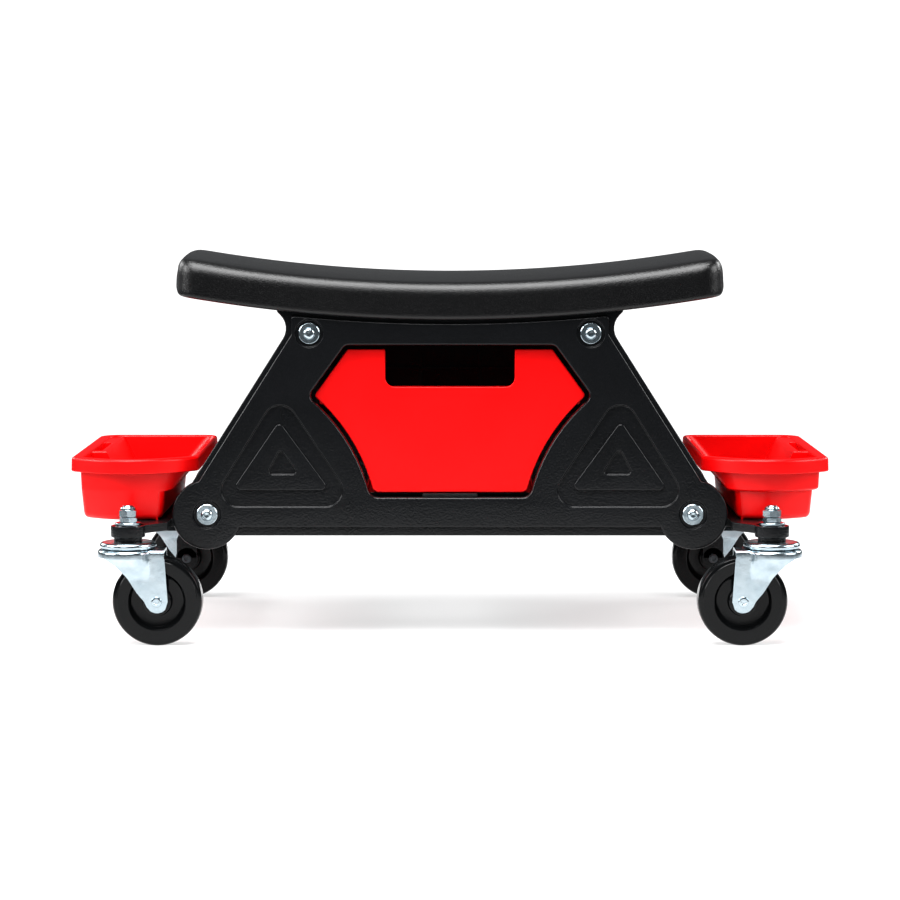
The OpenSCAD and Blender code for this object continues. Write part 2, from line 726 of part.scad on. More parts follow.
// A button-head screw whose head lies at the origin and whose shank runs along +Z
module button_screw(d, head_d, head_h, l) difference() {
    union() {
        cylinder(h = l, d = d);
        translate([0, 0, -head_h]) cylinder(h = head_h / 2, d1 = head_d * 0.62, d2 = head_d * 0.9, $fn = 32);
        translate([0, 0, -head_h / 2]) cylinder(h = head_h / 2, d = head_d);
    }
    translate([0, 0, -head_h - overrun])
        cylinder(h = socket_depth + overrun, d = socket_flats / cos(30), $fn = 6);
}

// Something at each of the eight bolts of the panels, drawn with +Z running inwards from the washer's seat
module at_bolts() front_and_back() both_sides()
    for (bolt = hub_bolts)
        translate([bolt[0], -washer_y, bolt[1]]) rotate([-90, 0, 0]) children();

module panel_screws() color(zinc) at_bolts() translate([0, 0, -panel_washer_t])
    button_screw(screw_d, screw_head_d, screw_head_h, screw_l);

module panel_washers() color(zinc) at_bolts() difference() {
    translate([0, 0, -panel_washer_t]) cylinder(h = panel_washer_t, d = panel_washer_d);
    translate([0, 0, -panel_washer_t - overrun]) cylinder(h = panel_washer_t + overrun * 2, d = screw_d + seat_gap);
}

module panel_inserts() color(brass) at_bolts() translate([0, 0, washer_y - panel_in]) difference() {
    cylinder(h = insert_l, d = insert_d);
    translate([0, 0, -overrun]) cylinder(h = insert_l + overrun * 2, d = screw_d);
}

module shelf_screws() color(dark_steel) both_sides() front_and_back()
    translate([shelf_screw_x, panel_in - panel_wall, shelf_screw_z]) rotate([-90, 0, 0]) {
        translate([0, 0, -small_head_h]) cylinder(h = small_head_h, d = small_head_d);
        cylinder(h = shelf_screw_l, d = small_screw_d);
    }

module seat_screws() color(dark_steel) at_seat_screws() translate([0, 0, -$rise]) {
    translate([0, 0, -small_head_h]) cylinder(h = small_head_h, d = small_head_d);
    translate([0, 0, -lap]) cylinder(h = $rise + seat_screw_bite + lap, d = small_screw_d);
}

// The drawer: a trough with the window's outline, its full front and a lower back
drawer_outline = inset(window_outline, drawer_gap);
module drawer() color(red_plastic) {
    front = -panel_y + drawer_setback;
    back = panel_in - drawer_back_gap;
    difference() {
        across(front, back) polygon(rounded(drawer_outline));
        across(front + drawer_wall, back - drawer_wall) polygon(rounded(inset(drawer_outline, drawer_wall)));
        translate([-window_mid_x, front + drawer_wall, drawer_rim_z])
            cube([window_mid_x * 2, back - front, window_top_z - drawer_rim_z]);
        across(front - overrun, front + drawer_wall + overrun) polygon(rounded([
            [-hold_x, hold_z, hold_r], [hold_x, hold_z, hold_r],
            [hold_x, window_top_z, 0], [-hold_x, window_top_z, 0]
        ]));
    }
}

// How far a tray's bowed front, moved in by d, lies in front of the middle at x
function tray_front(x, d) =
    let (l = rim_out_x - rim_in_x, t = (x - rim_in_x) / l, rise = rim_out_y - rim_in_y,
         slope = (rise + rim_bow * 4 * (1 - t * 2)) / l)
    rim_in_y + rise * t + rim_bow * 4 * t * (1 - t) - d * sqrt(1 + pow(slope, 2));

// The outline of a tray level moved in by d, in X and Y, counter-clockwise from its inner front corner
function tray_outline(in_x, d, r, back_r) = concat(
    [[in_x, -tray_front(in_x, d), r]],
    [for (k = [1:bow_steps - 1]) let (x = in_x + (rim_out_x - d - in_x) * k / bow_steps) [x, -tray_front(x, d), 0]],
    [[rim_out_x - d, -tray_front(rim_out_x - d, d), r], [rim_out_x - d, rim_back_y - d, back_r],
     [in_x, rim_back_y - d, r]]
);
function rim_outline(d) = tray_outline(rim_in_x + d, d, max(rim_corner_r - d, 1), max(rim_back_r - d, 1));
function body_outline(in_x, d) = tray_outline(in_x + d, lip_out + d, body_corner_r, rim_back_r - lip_out);

// A tray: rim with turned-down lip, stepped body, bin, and a tool block along its outer side behind the middle
module tray(out_step) color(red_plastic) difference() {
    union() {
        translate([0, 0, rim_z - rim_flange]) linear_extrude(height = rim_flange) polygon(rounded(rim_outline(0)));
        tray_lip();
        loft([
            rounded(body_outline(tray_step_x - out_step, tray_draft + out_step)),
            rounded(body_outline(tray_step_x - out_step, tray_draft * 0.4 + out_step)),
            rounded(body_outline(tray_in_x, tray_draft * 0.35)), rounded(body_outline(tray_mouth_x, 0))
        ], [tray_z, tray_step_z, tray_step_z + tray_shoulder, rim_z - rim_flange + lap]);
    }
    difference() {
        tray_bin(out_step);
        tray_block();
    }
    tray_block_cuts(out_step);
}

// The lip that turns down round the rim
module tray_lip() difference() {
    translate([0, 0, tray_low_z]) linear_extrude(height = lip_h - lap) polygon(rounded(rim_outline(0)));
    translate([0, 0, tray_low_z - overrun]) linear_extrude(height = lip_h + overrun * 2)
        polygon(rounded(rim_outline(tray_wall)));
}

// The bin inside a tray, whose lower and upper parts follow the step of the body
module tray_bin(out_step) {
    bin_z = tray_z + tray_floor;
    step_z = tray_step_z + tray_wall;
    translate([0, 0, bin_z]) linear_extrude(height = step_z - bin_z + lap)
        polygon(rounded(body_outline(tray_step_x - out_step, tray_draft + out_step + tray_wall)));
    loft([
        rounded(body_outline(tray_in_x, tray_draft * 0.4 + tray_wall)),
        rounded(body_outline(tray_mouth_x, tray_wall))
    ], [step_z, rim_z + overrun]);
}

ridge_x = rim_out_x - lip_out - block_w;
block_top = rim_z - block_drop;

// The tool block: a slope up from the bin's floor to a ridge, and a flat top behind the ridge
module tray_block() across(-block_y, rim_back_y)
    polygon([[ridge_x - block_slope, tray_z], [rim_out_x, tray_z], [rim_out_x, block_top], [ridge_x, block_top]]);

// The slot in the tool block, and the hollow under the block
module tray_block_cuts(out_step) {
    x1 = rim_out_x - lip_out - tray_wall;
    translate([x1 - slot_w, -block_y + slot_in, block_top - slot_depth])
        cube([slot_w, slot_l, slot_depth + overrun]);
    across(-block_y + tray_wall, rim_back_y - rim_back_r - lip_out)
        polygon([[ridge_x - block_slope + tray_wall * 2, tray_z - overrun],
            [x1 - tray_draft - out_step, tray_z - overrun],
            [x1 - tray_draft - out_step, block_top - slot_depth - tray_wall],
            [ridge_x - slot_depth / 4, block_top - slot_depth - tray_wall]]);
}

module tray_left() mirror([1, 0, 0]) tray(0);
module tray_right() tray(tray_out_step);

// A caster's place: side is -1 for the left and 1 for the right, end is -1 for the front and 1 for the back.
// Its own +X runs from the swivel axis to its wheel, which trails towards the middle of the seat at rest.
module at_caster(side, end) translate([side * stem_x, end * stem_y, 0])
    if (side > 0) mirror([1, 0, 0]) children();
    else children();

// The stem: threaded rod, upper raceway pressed onto it, and the riveted end that holds the fork
module stem() color(zinc) difference() {
    union() {
        translate([0, 0, crown_top - fork_t - pin_play - fork_t]) cylinder(h = fork_t, d = pin_head_d);
        translate([0, 0, crown_top - fork_t - pin_play - lap])
            cylinder(h = stem_top - crown_top + fork_t + pin_play + lap, d = stem_d);
        translate([0, 0, race_top]) mirror([0, 0, 1]) rotate_extrude() polygon(rounded([
            [0, 0, 0], [race_d / 2 - fork_t, 0, 0], [race_d / 2, fork_t, 0],
            [race_d / 2, race_h - pin_play * 2, 0], [race_d / 2 - fork_t, race_h - pin_play * 2, 0],
            [race_d / 2 - fork_t, fork_t, 0], [0, fork_t, 0]
        ]));
        translate([0, 0, crown_top + pin_play]) cylinder(h = race_h - pin_play - lap, d = ball_ring_d - ball_d * 2);
    }
    translate([0, 0, ball_z]) rotate_extrude() translate([ball_ring_d / 2, 0]) circle(r = groove_r);
}

// The balls of one swivel
module ball_ring() for (k = [0:ball_count - 1])
    rotate([0, 0, 360 * k / ball_count]) translate([ball_ring_d / 2, 0, ball_z]) sphere(d = ball_d, $fn = 32);

// A hexagon nut with its bore
module hex_nut(h, z) translate([0, 0, z]) difference() {
    cylinder(h = h, d = nut_flats / cos(30), $fn = 6);
    translate([0, 0, -overrun]) cylinder(h = h + overrun * 2, d = stem_d + seat_gap);
}

module stem_washer() translate([0, 0, beam_top]) difference() {
    cylinder(h = stem_washer_t, d = stem_washer_d);
    translate([0, 0, -overrun]) cylinder(h = stem_washer_t + overrun * 2, d = stem_d + seat_gap);
}

// The pressed fork: crown with its ball track, tongue and turned-down edge, and two legs with the axle bore
module fork() color(zinc) difference() {
    union() {
        translate([0, 0, crown_top - fork_t]) cylinder(h = fork_t, d = crown_d);
        translate([0, -leg_out, crown_top - fork_t]) cube([tongue, leg_out * 2, fork_t]);
        difference() {
            translate([0, 0, crown_top - crown_skirt]) cylinder(h = crown_skirt, d = crown_d);
            translate([0, 0, crown_top - crown_skirt - overrun])
                cylinder(h = crown_skirt - lap + overrun, d = crown_d - fork_t * 2);
            translate([-crown_d / 4, -crown_d, crown_top - crown_skirt - overrun])
                cube([crown_d, crown_d * 2, crown_skirt + overrun]);
        }
        for (y = [-leg_out, leg_in])
            across(y, y + fork_t) polygon([
                [-crown_d * 0.3, crown_top - lap], [-crown_d * 0.3, crown_top - crown_skirt],
                [trail * 0.15, axle_z + fork_foot_r * 1.7], [trail - fork_foot_r * 0.9, axle_z],
                [trail, axle_z - fork_foot_r * 0.5], [trail + fork_foot_r, axle_z], [tongue, crown_top - lap]
            ]);
        for (y = [-leg_out, leg_in])
            bar([trail, axle_z], fork_foot_r, y, y + fork_t);
    }
    translate([0, 0, crown_top - fork_t - overrun]) cylinder(h = fork_t + overrun * 2, r = stem_d / 2 + running_gap);
    translate([0, 0, ball_z]) rotate_extrude() translate([ball_ring_d / 2, 0]) circle(r = groove_r);
    bar([trail, axle_z], axle_d / 2, -leg_out - overrun, leg_out + overrun);
}

// A riveted axle with its two heads; outer is the distance of the heads' seats from the wheel's middle
module axle(outer) color(zinc) {
    bar([trail, axle_z], axle_d / 2, -outer - lap, outer + lap);
    for (y = [-outer - axle_head_h, outer])
        bar([trail, axle_z], axle_head_d / 2, y, y + axle_head_h);
}

module sleeve() color(dark_steel) difference() {
    bar([trail, axle_z], sleeve_d / 2, -hub_half, hub_half);
    bar([trail, axle_z], axle_d / 2 + running_gap, -hub_half - overrun, hub_half + overrun);
}

// A wheel: tread with rounded edges, dished faces and the hub
module wheel() color(black_plastic) translate([trail, 0, axle_z]) rotate([90, 0, 0]) rotate_extrude()
    polygon(rounded([
        [sleeve_d / 2, -hub_half, 0], [hub_d / 2, -hub_half, 1], [hub_d / 2, -wheel_w / 2 + wheel_dish, 2],
        [wheel_dish_d / 2, -wheel_w / 2 + wheel_dish, 2], [wheel_dish_d / 2, -wheel_w / 2, 1],
        [wheel_d / 2, -wheel_w / 2, 3],
        [wheel_d / 2, wheel_w / 2, 3],
        [wheel_dish_d / 2, wheel_w / 2, 1], [wheel_dish_d / 2, wheel_w / 2 - wheel_dish, 2],
        [hub_d / 2, wheel_w / 2 - wheel_dish, 2], [hub_d / 2, hub_half, 1], [sleeve_d / 2, hub_half, 0]
    ]));

// A brake lever: two bent arms on the axle, joined over the tread by the foot pad
module brake_lever() color(black_plastic) difference() {
    union() {
        for (y = [-lever_out, lever_in]) {
            across(y, y + lever_t) polygon([
                [trail - lever_w / 2, axle_z], [trail + lever_w / 2, axle_z],
                [trail + lever_w / 2, axle_z + lever_rise - lever_w * 0.2],
                [pad_x + pad_l, pad_z - lever_w * 0.15], [pad_x + pad_l, pad_z + lever_t], [pad_x, pad_z + lever_t],
                [trail - lever_w / 2, axle_z + lever_rise]
            ]);
            bar([trail, axle_z], lever_w / 2 + lever_t * 0.4, y, y + lever_t);
        }
        translate([pad_x, -lever_out, pad_z]) cube([pad_l, lever_out * 2, lever_t * 1.4]);
    }
    bar([trail, axle_z], axle_d / 2 + running_gap, -lever_out - overrun, lever_out + overrun);
}

module at_each_caster() for (side = [-1, 1], end = [-1, 1]) at_caster(side, end) children();

module stem_nuts() color(zinc) at_each_caster() hex_nut(nut_low_h, nut_z);
module lock_nuts() color(zinc) at_each_caster() hex_nut(nut_lock_h, lock_z);
module stem_washers() color(zinc) at_each_caster() stem_washer();
module swivel_balls() color(dark_steel) at_each_caster() ball_ring();

side_panel_front();
side_panel_back();
caster_beam_left();
caster_beam_right();
seat_bracket_left();
seat_bracket_right();
drawer_shelf();
seat_board();
seat_cushion();
panel_screws();
panel_washers();
panel_inserts();
shelf_screws();
seat_screws();
drawer();
tray_left();
tray_right();
at_caster(-1, -1) stem();  // stem_front_left
at_caster(1, -1) stem();  // stem_front_right
at_caster(-1, 1) stem();  // stem_back_left
at_caster(1, 1) stem();  // stem_back_right
stem_nuts();
lock_nuts();
stem_washers();
swivel_balls();
at_caster(-1, -1) fork();  // fork_front_left
at_caster(1, -1) fork();  // fork_front_right
at_caster(-1, 1) fork();  // fork_back_left
at_caster(1, 1) fork();  // fork_back_right
at_caster(-1, -1) axle(leg_out);  // axle_front_left
at_caster(1, -1) axle(leg_out);  // axle_front_right
at_caster(-1, 1) axle(lever_out + hub_gap);  // axle_back_left
at_caster(1, 1) axle(lever_out + hub_gap);  // axle_back_right
at_caster(-1, -1) sleeve();  // sleeve_front_left
at_caster(1, -1) sleeve();  // sleeve_front_right
at_caster(-1, 1) sleeve();  // sleeve_back_left
at_caster(1, 1) sleeve();  // sleeve_back_right
at_caster(-1, -1) wheel();  // wheel_front_left
at_caster(1, -1) wheel();  // wheel_front_right
at_caster(-1, 1) wheel();  // wheel_back_left
at_caster(1, 1) wheel();  // wheel_back_right
at_caster(-1, 1) brake_lever();  // brake_lever_left
at_caster(1, 1) brake_lever();  // brake_lever_right
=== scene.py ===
import math
import bmesh
import bpy
from mathutils import Matrix, Vector


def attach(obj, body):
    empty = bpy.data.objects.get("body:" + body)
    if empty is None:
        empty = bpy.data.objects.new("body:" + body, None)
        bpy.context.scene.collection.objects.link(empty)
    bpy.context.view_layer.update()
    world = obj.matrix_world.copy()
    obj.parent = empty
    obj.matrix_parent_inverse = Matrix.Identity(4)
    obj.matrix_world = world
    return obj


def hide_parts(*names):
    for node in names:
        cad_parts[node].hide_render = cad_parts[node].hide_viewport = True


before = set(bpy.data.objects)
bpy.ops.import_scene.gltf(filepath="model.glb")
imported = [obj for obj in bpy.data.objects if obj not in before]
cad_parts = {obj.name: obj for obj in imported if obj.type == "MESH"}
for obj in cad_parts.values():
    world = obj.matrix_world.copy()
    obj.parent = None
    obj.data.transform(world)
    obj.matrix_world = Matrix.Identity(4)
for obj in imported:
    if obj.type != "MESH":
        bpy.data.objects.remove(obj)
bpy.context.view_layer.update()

# The studio: a camera 2.8 m in front of the seat with a long lens, looking slightly down on it, a pale
# matt floor before a white ground, a dim grey room all round, and large soft lights above and at the sides.
camera = bpy.data.objects.new("camera", bpy.data.cameras.new("camera"))
camera.data.lens = 125.14
camera.data.sensor_width = 36
camera.location = (0, -2.7973, 0.3944)
camera.rotation_euler = (math.radians(90 - 4.94), 0, 0)
bpy.context.scene.collection.objects.link(camera)
bpy.context.scene.camera = camera
bpy.context.scene.view_settings.view_transform = "Standard"
bpy.context.scene.view_settings.look = "Medium High Contrast"


def linear(colour):
    """An sRGB hex colour as the linear values that a shader takes."""
    parts = [int(colour[i:i + 2], 16) / 255 for i in (1, 3, 5)]
    return [v / 12.92 if v < 0.04045 else ((v + 0.055) / 1.055) ** 2.4 for v in parts] + [1]


def add(tree, kind, sockets=(), **settings):
    """Adds a node: settings are its own properties, sockets its inputs, as numbers or as outputs to link."""
    made = tree.nodes.new(kind)
    for name, value in settings.items():
        setattr(made, name, value)
    for name, value in dict(sockets).items():
        if isinstance(value, bpy.types.NodeSocket):
            tree.links.new(value, made.inputs[name])
        else:
            made.inputs[name].default_value = value
    return made


def finish_of(name):
    """An empty material, its tree, and the object's own coordinates in it."""
    skin = bpy.data.materials.new(name)
    skin.use_nodes = True
    skin.node_tree.nodes.clear()
    return skin, skin.node_tree, add(skin.node_tree, "ShaderNodeTexCoord").outputs["Object"]


def pale_acrylic():
    """The matt white acrylic of a shooting table, faintly lit from below so that shadows on it stay light."""
    skin, tree, place = finish_of("pale_acrylic_table")
    patches = add(tree, "ShaderNodeTexNoise", {"Vector": place, "Scale": 3, "Detail": 2})
    tone = add(tree, "ShaderNodeMix", {
        "Factor": patches.outputs["Fac"], "A": linear("#a6a6a6"), "B": linear("#aaaaaa")}, data_type="RGBA")
    shader = add(tree, "ShaderNodeBsdfPrincipled", {"Roughness": 0.9, "Specular IOR Level": 0.1,
                                                    "Base Color": tone.outputs["Result"],
                                                    "Emission Color": (1, 1, 1, 1), "Emission Strength": 0.5})
    add(tree, "ShaderNodeOutputMaterial", {"Surface": shader.outputs["BSDF"]})
    return skin


bpy.ops.mesh.primitive_circle_add(vertices=96, radius=0.95, fill_type="NGON")
floor = bpy.context.object
floor.name = "floor"
floor.data.materials.append(pale_acrylic())

room = bpy.data.worlds.new("studio_room")
room.use_nodes = True
room.node_tree.nodes.clear()
ground = add(room.node_tree, "ShaderNodeBackground", {"Color": (1, 1, 1, 1), "Strength": 1.05})
walls = add(room.node_tree, "ShaderNodeBackground", {"Color": (0.9, 0.95, 1, 1), "Strength": 0.1})
seen = add(room.node_tree, "ShaderNodeLightPath")
blend = add(room.node_tree, "ShaderNodeMixShader", {0: seen.outputs["Is Camera Ray"], 1: walls.outputs[0],
                                                    2: ground.outputs[0]})
add(room.node_tree, "ShaderNodeOutputWorld", {"Surface": blend.outputs[0]})
bpy.context.scene.world = room
for name, spot, aim, size, watts in (
    ("softbox_above", (-0.3, -0.9, 2.9), (0, 0, 0), 2.3, 190),
    ("softbox_front", (-0.9, -2.5, 2.2), (0, 0, 0.15), 1.2, 26),
    ("softbox_left", (-2.5, -0.7, 1.5), (0, 0, 0.15), 1.6, 80),
    ("softbox_right", (2.5, -0.6, 1.4), (0, 0, 0.15), 1.5, 55),
    ("softbox_back_left", (-2.3, 1.9, 1.3), (0, 0, 0.15), 1.0, 22),
    ("softbox_back_right", (2.3, 1.9, 1.3), (0, 0, 0.15), 1.0, 22),
):
    light = bpy.data.objects.new(name, bpy.data.lights.new(name, "AREA"))
    light.data.size = size
    light.data.energy = watts
    light.location = spot
    light.visible_camera = False
    light.rotation_euler = (Vector(aim) - Vector(spot)).to_track_quat("-Z", "Y").to_euler()
    bpy.context.scene.collection.objects.link(light)

# The two side panels: black polypropylene mouldings with a raised face, a slanted leg and a round foot at
# each end, nested triangles sunk in it, and ribs and screw pillars behind. The front one has a window for
# the drawer, and on the back one the window is closed and shows as a shallow field.
FOOT = (209.4, 106.7)
FOOT_R = 30
EAR_BOLT = (120.8, 263.0)
HEEL, SHOULDER = (230, 122), (136.5, 269.5)
FACE_Y, BASE_Y, INNER_Y, SUNK = -118, -115, -104, 2
PILLAR_R, COUNTERBORE_R, SCREW_R = 13, 12, 3.3


def under_seat(x):
    """The height of the cushion's underside, in millimetres, at a distance along the seat."""
    return 276.7 + 20.8 * (x / 235) ** 2


def arc(centre, r, start, sweep, steps):
    """Points along an arc, with both its ends."""
    angles = [start + sweep * k / steps for k in range(steps + 1)]
    return [centre + r * Vector((math.cos(a), math.sin(a))) for a in angles]


def rounded(corners, steps=6):
    """An outline through corners of (x, y, radius), counter-clockwise, as points."""
    loop = []
    for i, (x, y, r) in enumerate(corners):
        b = Vector((x, y))
        u = (Vector(corners[i - 1][:2]) - b).normalized()
        v = (Vector(corners[(i + 1) % len(corners)][:2]) - b).normalized()
        if not r:
            loop.append(b)
            continue
        half = u.angle(v) / 2
        centre = b + (u + v).normalized() * r / math.sin(half)
        first, last = (b + w * r / math.tan(half) - centre for w in (u, v))
        start = math.atan2(first.y, first.x)
        sweep = (math.atan2(last.y, last.x) - start + math.pi) % math.tau - math.pi
        loop += arc(centre, r, start, sweep, steps)
    return loop


def oblong(x0, y0, x1, y1, r, steps=6):
    """A rectangle with rounded corners."""
    return rounded([(x0, y0, r), (x1, y0, r), (x1, y1, r), (x0, y1, r)], steps)


def mirrored(half):
    """A symmetric outline from its right half."""
    return half + [(-x, y, r) for x, y, r in reversed(half) if x]


def bowed(a, b, bow, steps=12):
    """Points of a bowed side between two corners, its ends left out."""
    a, b = Vector(a), Vector(b)
    side = (b - a).normalized()
    points = [a.lerp(b, k / steps) + Vector((-side.y, side.x)) * bow * 4 * k / steps * (1 - k / steps)
              for k in range(1, steps)]
    return [(p.x, p.y, 0) for p in points]


def moved(loop, d):
    """The outline with its sides moved inwards by d."""
    out = []
    for i, b in enumerate(loop):
        u = (b - loop[i - 1]).normalized()
        v = (loop[(i + 1) % len(loop)] - b).normalized()
        out.append(b + Vector((-u.y - v.y, u.x + v.x)) * d / max(1 + u.dot(v), 0.4))
    return out


def with_foot(loop, centre, r, steps=36):
    """The outline with the part of it that lies inside a round foot replaced by the foot's own edge."""
    centre = Vector(centre)
    n = len(loop)
    out = [(p - centre).length > r for p in loop]
    first = next(i for i in range(n) if out[i] and not out[(i + 1) % n])
    last = next(i for i in range(n) if not out[i] and out[(i + 1) % n])

    def crossing(a, b):
        low, high = (0, 1) if (a - centre).length > r else (1, 0)
        for _ in range(30):
            mid = (low + high) / 2
            low, high = (mid, high) if (a.lerp(b, mid) - centre).length > r else (low, mid)
        return a.lerp(b, low) - centre

    enter, leave = crossing(loop[first], loop[(first + 1) % n]), crossing(loop[last], loop[(last + 1) % n])
    start = math.atan2(enter.y, enter.x)
    sweep = (math.atan2(leave.y, leave.x) - start) % math.tau
    kept = [loop[(last + 1 + k) % n] for k in range((first - last) % n)]
    return kept + arc(centre, r, start, sweep, steps)


def skinned(bm, rings, closed=False):
    """Faces between rings of points, and the first and the last ring's corners."""
    rows = [[bm.verts.new(p) for p in ring] for ring in rings]
    for a, b in zip(rows, rows[1:] + rows[:1] if closed else rows[1:]):
        for i in range(len(a)):
            j = (i + 1) % len(a)
            bm.faces.new((a[i], a[j], b[j], b[i]))
    return rows[0], rows[-1]


def lid(bm, *loops):
    """A flat face across an outline, with holes where there are more outlines."""
    edges = [bm.edges.get((loop[i - 1], loop[i])) for loop in loops for i in range(len(loop))]
    bmesh.ops.triangle_fill(bm, use_beauty=True, edges=edges)


def upright(u, v, d):
    """A drawing in X and Z, whose depth runs along Y."""
    return (u, d, v)


def plate(bm, outline, near, far, edge=0.8, through=(), pits=(), place=upright, steps=3):
    """A plate with rounded edges from near to far. Pits are (outline, depth) and go in from the near side."""
    turn = math.copysign(1, far - near)
    bends = [math.pi / 2 * k / steps for k in range(steps + 1)]

    def wall(loop, side, end, r=edge):
        near_rings = [(moved(loop, side * r * (1 - math.sin(a))), near + turn * r * (1 - math.cos(a)))
                      for a in bends]
        far_rings = [(moved(loop, end[2] * r * (1 - math.sin(a))), end[0] + end[1] * r * (1 - math.cos(a)))
                     for a in reversed(bends)]
        return [[place(p.x, p.y, d) for p in ring] for ring, d in near_rings + far_rings]

    tops, bottoms = [], []
    for loop, side in [(outline, 1)] + [(hole, -1) for hole in through]:
        top, bottom = skinned(bm, wall(loop, side, (far, -turn, side)))
        tops.append(top)
        bottoms.append(bottom)
    for loop, depth in pits:
        top, bottom = skinned(bm, wall(loop, -1, (near + turn * depth, -turn, 1), min(edge, depth * 0.45)))
        tops.append(top)
        lid(bm, bottom)
    lid(bm, *tops)
    lid(bm, *bottoms)


def ring_points(at, r, count=48):
    """A circle as an outline."""
    return [Vector((at[0] + r * math.cos(math.tau * k / count), at[1] + r * math.sin(math.tau * k / count)))
            for k in range(count)]


def piece(bm, name, body, skin, slot, hides=(), crease=35):
    """Turns a mesh in millimetres into a finished piece that rides on its body."""
    bmesh.ops.recalc_face_normals(bm, faces=bm.faces)
    bmesh.ops.scale(bm, vec=(0.001,) * 3, verts=bm.verts)
    mesh = bpy.data.meshes.new(name)
    bm.to_mesh(mesh)
    bm.free()
    return finished(bpy.data.objects.new(name, mesh), body, skin, slot, hides, crease)


def finished(made, body, skin, slot, hides=(), crease=35):
    """Shades a piece, gives it its material and ties it to the frame."""
    if made.name not in bpy.context.scene.collection.objects:
        bpy.context.scene.collection.objects.link(made)
    made.data.polygons.foreach_set("use_smooth", [True] * len(made.data.polygons))
    made.data.set_sharp_from_angle(angle=math.radians(crease))
    made.data.materials.clear()
    made.data.materials.append(skin)
    shading = made.modifiers.new("even_shading", "WEIGHTED_NORMAL")
    shading.keep_sharp = True
    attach(made, body)
    if hides:
        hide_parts(*hides)
    return made


def moulded_black():
    """Black polypropylene from a fine-grained mould: nearly black, satin, with a soft uneven gloss."""
    skin, tree, place = finish_of("moulded_black_polypropylene")
    flow = add(tree, "ShaderNodeTexNoise", {"Vector": place, "Scale": 22, "Detail": 3, "Roughness": 0.55})
    tone = add(tree, "ShaderNodeMix", {
        "Factor": flow.outputs["Fac"], "A": linear("#111213"), "B": linear("#17181a")}, data_type="RGBA")
    gloss = add(tree, "ShaderNodeMapRange", {"Value": flow.outputs["Fac"], "To Min": 0.17, "To Max": 0.22})
    # The mould's grain is about 0.3 mm, and it is drawn at 1.5 mm so that it shows.
    grain = add(tree, "ShaderNodeTexNoise", {"Vector": place, "Scale": 650, "Detail": 1, "Roughness": 0.5})
    relief = add(tree, "ShaderNodeBump", {"Height": grain.outputs["Fac"],
                                           "Strength": 0.65, "Distance": 0.00025})
    shader = add(tree, "ShaderNodeBsdfPrincipled", {
        "Base Color": tone.outputs["Result"], "Roughness": gloss.outputs["Result"], "IOR": 1.49,
        "Specular IOR Level": 0.27, "Normal": relief.outputs["Normal"]})
    add(tree, "ShaderNodeOutputMaterial", {"Surface": shader.outputs["BSDF"]})
    return skin


black = moulded_black()


def panel_edge(half, reach, below, r):
    """A panel's outline: its right half up to the seat, the curve below the seat, and the two round feet. Its
    top ends at reach with corners of radius r, and runs that far below the seat."""
    curve = [(reach * k / 12, under_seat(reach * k / 12) - below, 0) for k in range(11, -1, -1)]
    loop = rounded(mirrored(half + [(reach, under_seat(reach) - below, r)] + curve))
    return with_foot(with_foot(loop, FOOT, FOOT_R), (-FOOT[0], FOOT[1]), FOOT_R)


base_edge = panel_edge([(186, 88.3, 0), (*HEEL, 0), (*SHOULDER, 16)], 152, 0.4, 2)
face_edge = panel_edge([(186, 95.7, 0), (225.3, 122, 0), (136.5, 262.1, 3)], 136.5, 5, 3)
window_edge = moved(rounded(mirrored([(68.2, 122.5, 8.5)] + bowed((68.2, 122.5), (121, 208.6), 8.2, 9)
                                     + [(121, 208.6, 6), (89.5, 252, 5)]), 9), -0.9)
triangles = []
for centres, radius in (((-27, 21.3), (-102.3, 21.3), (-63.3, 80.2)), 14.6), \
                       (((-28.9, 25), (-98.6, 25), (-62.6, 74.3)), 4), \
                       (((-56.5, 37.8), (-73.9, 37.8), (-63.8, 52.1)), 3):
    corners = [Vector((FOOT[0] + x, FOOT[1] + z)) for x, z in centres]
    if (corners[1] - corners[0]).cross(corners[2] - corners[1]) < 0:
        corners.reverse()
    triangles.append(rounded([(p.x, p.y, radius) for p in moved(corners, -radius)], 9))


def flipped(loop):
    """The outline's mirror image, still counter-clockwise."""
    return [Vector((-p.x, p.y)) for p in reversed(loop)]


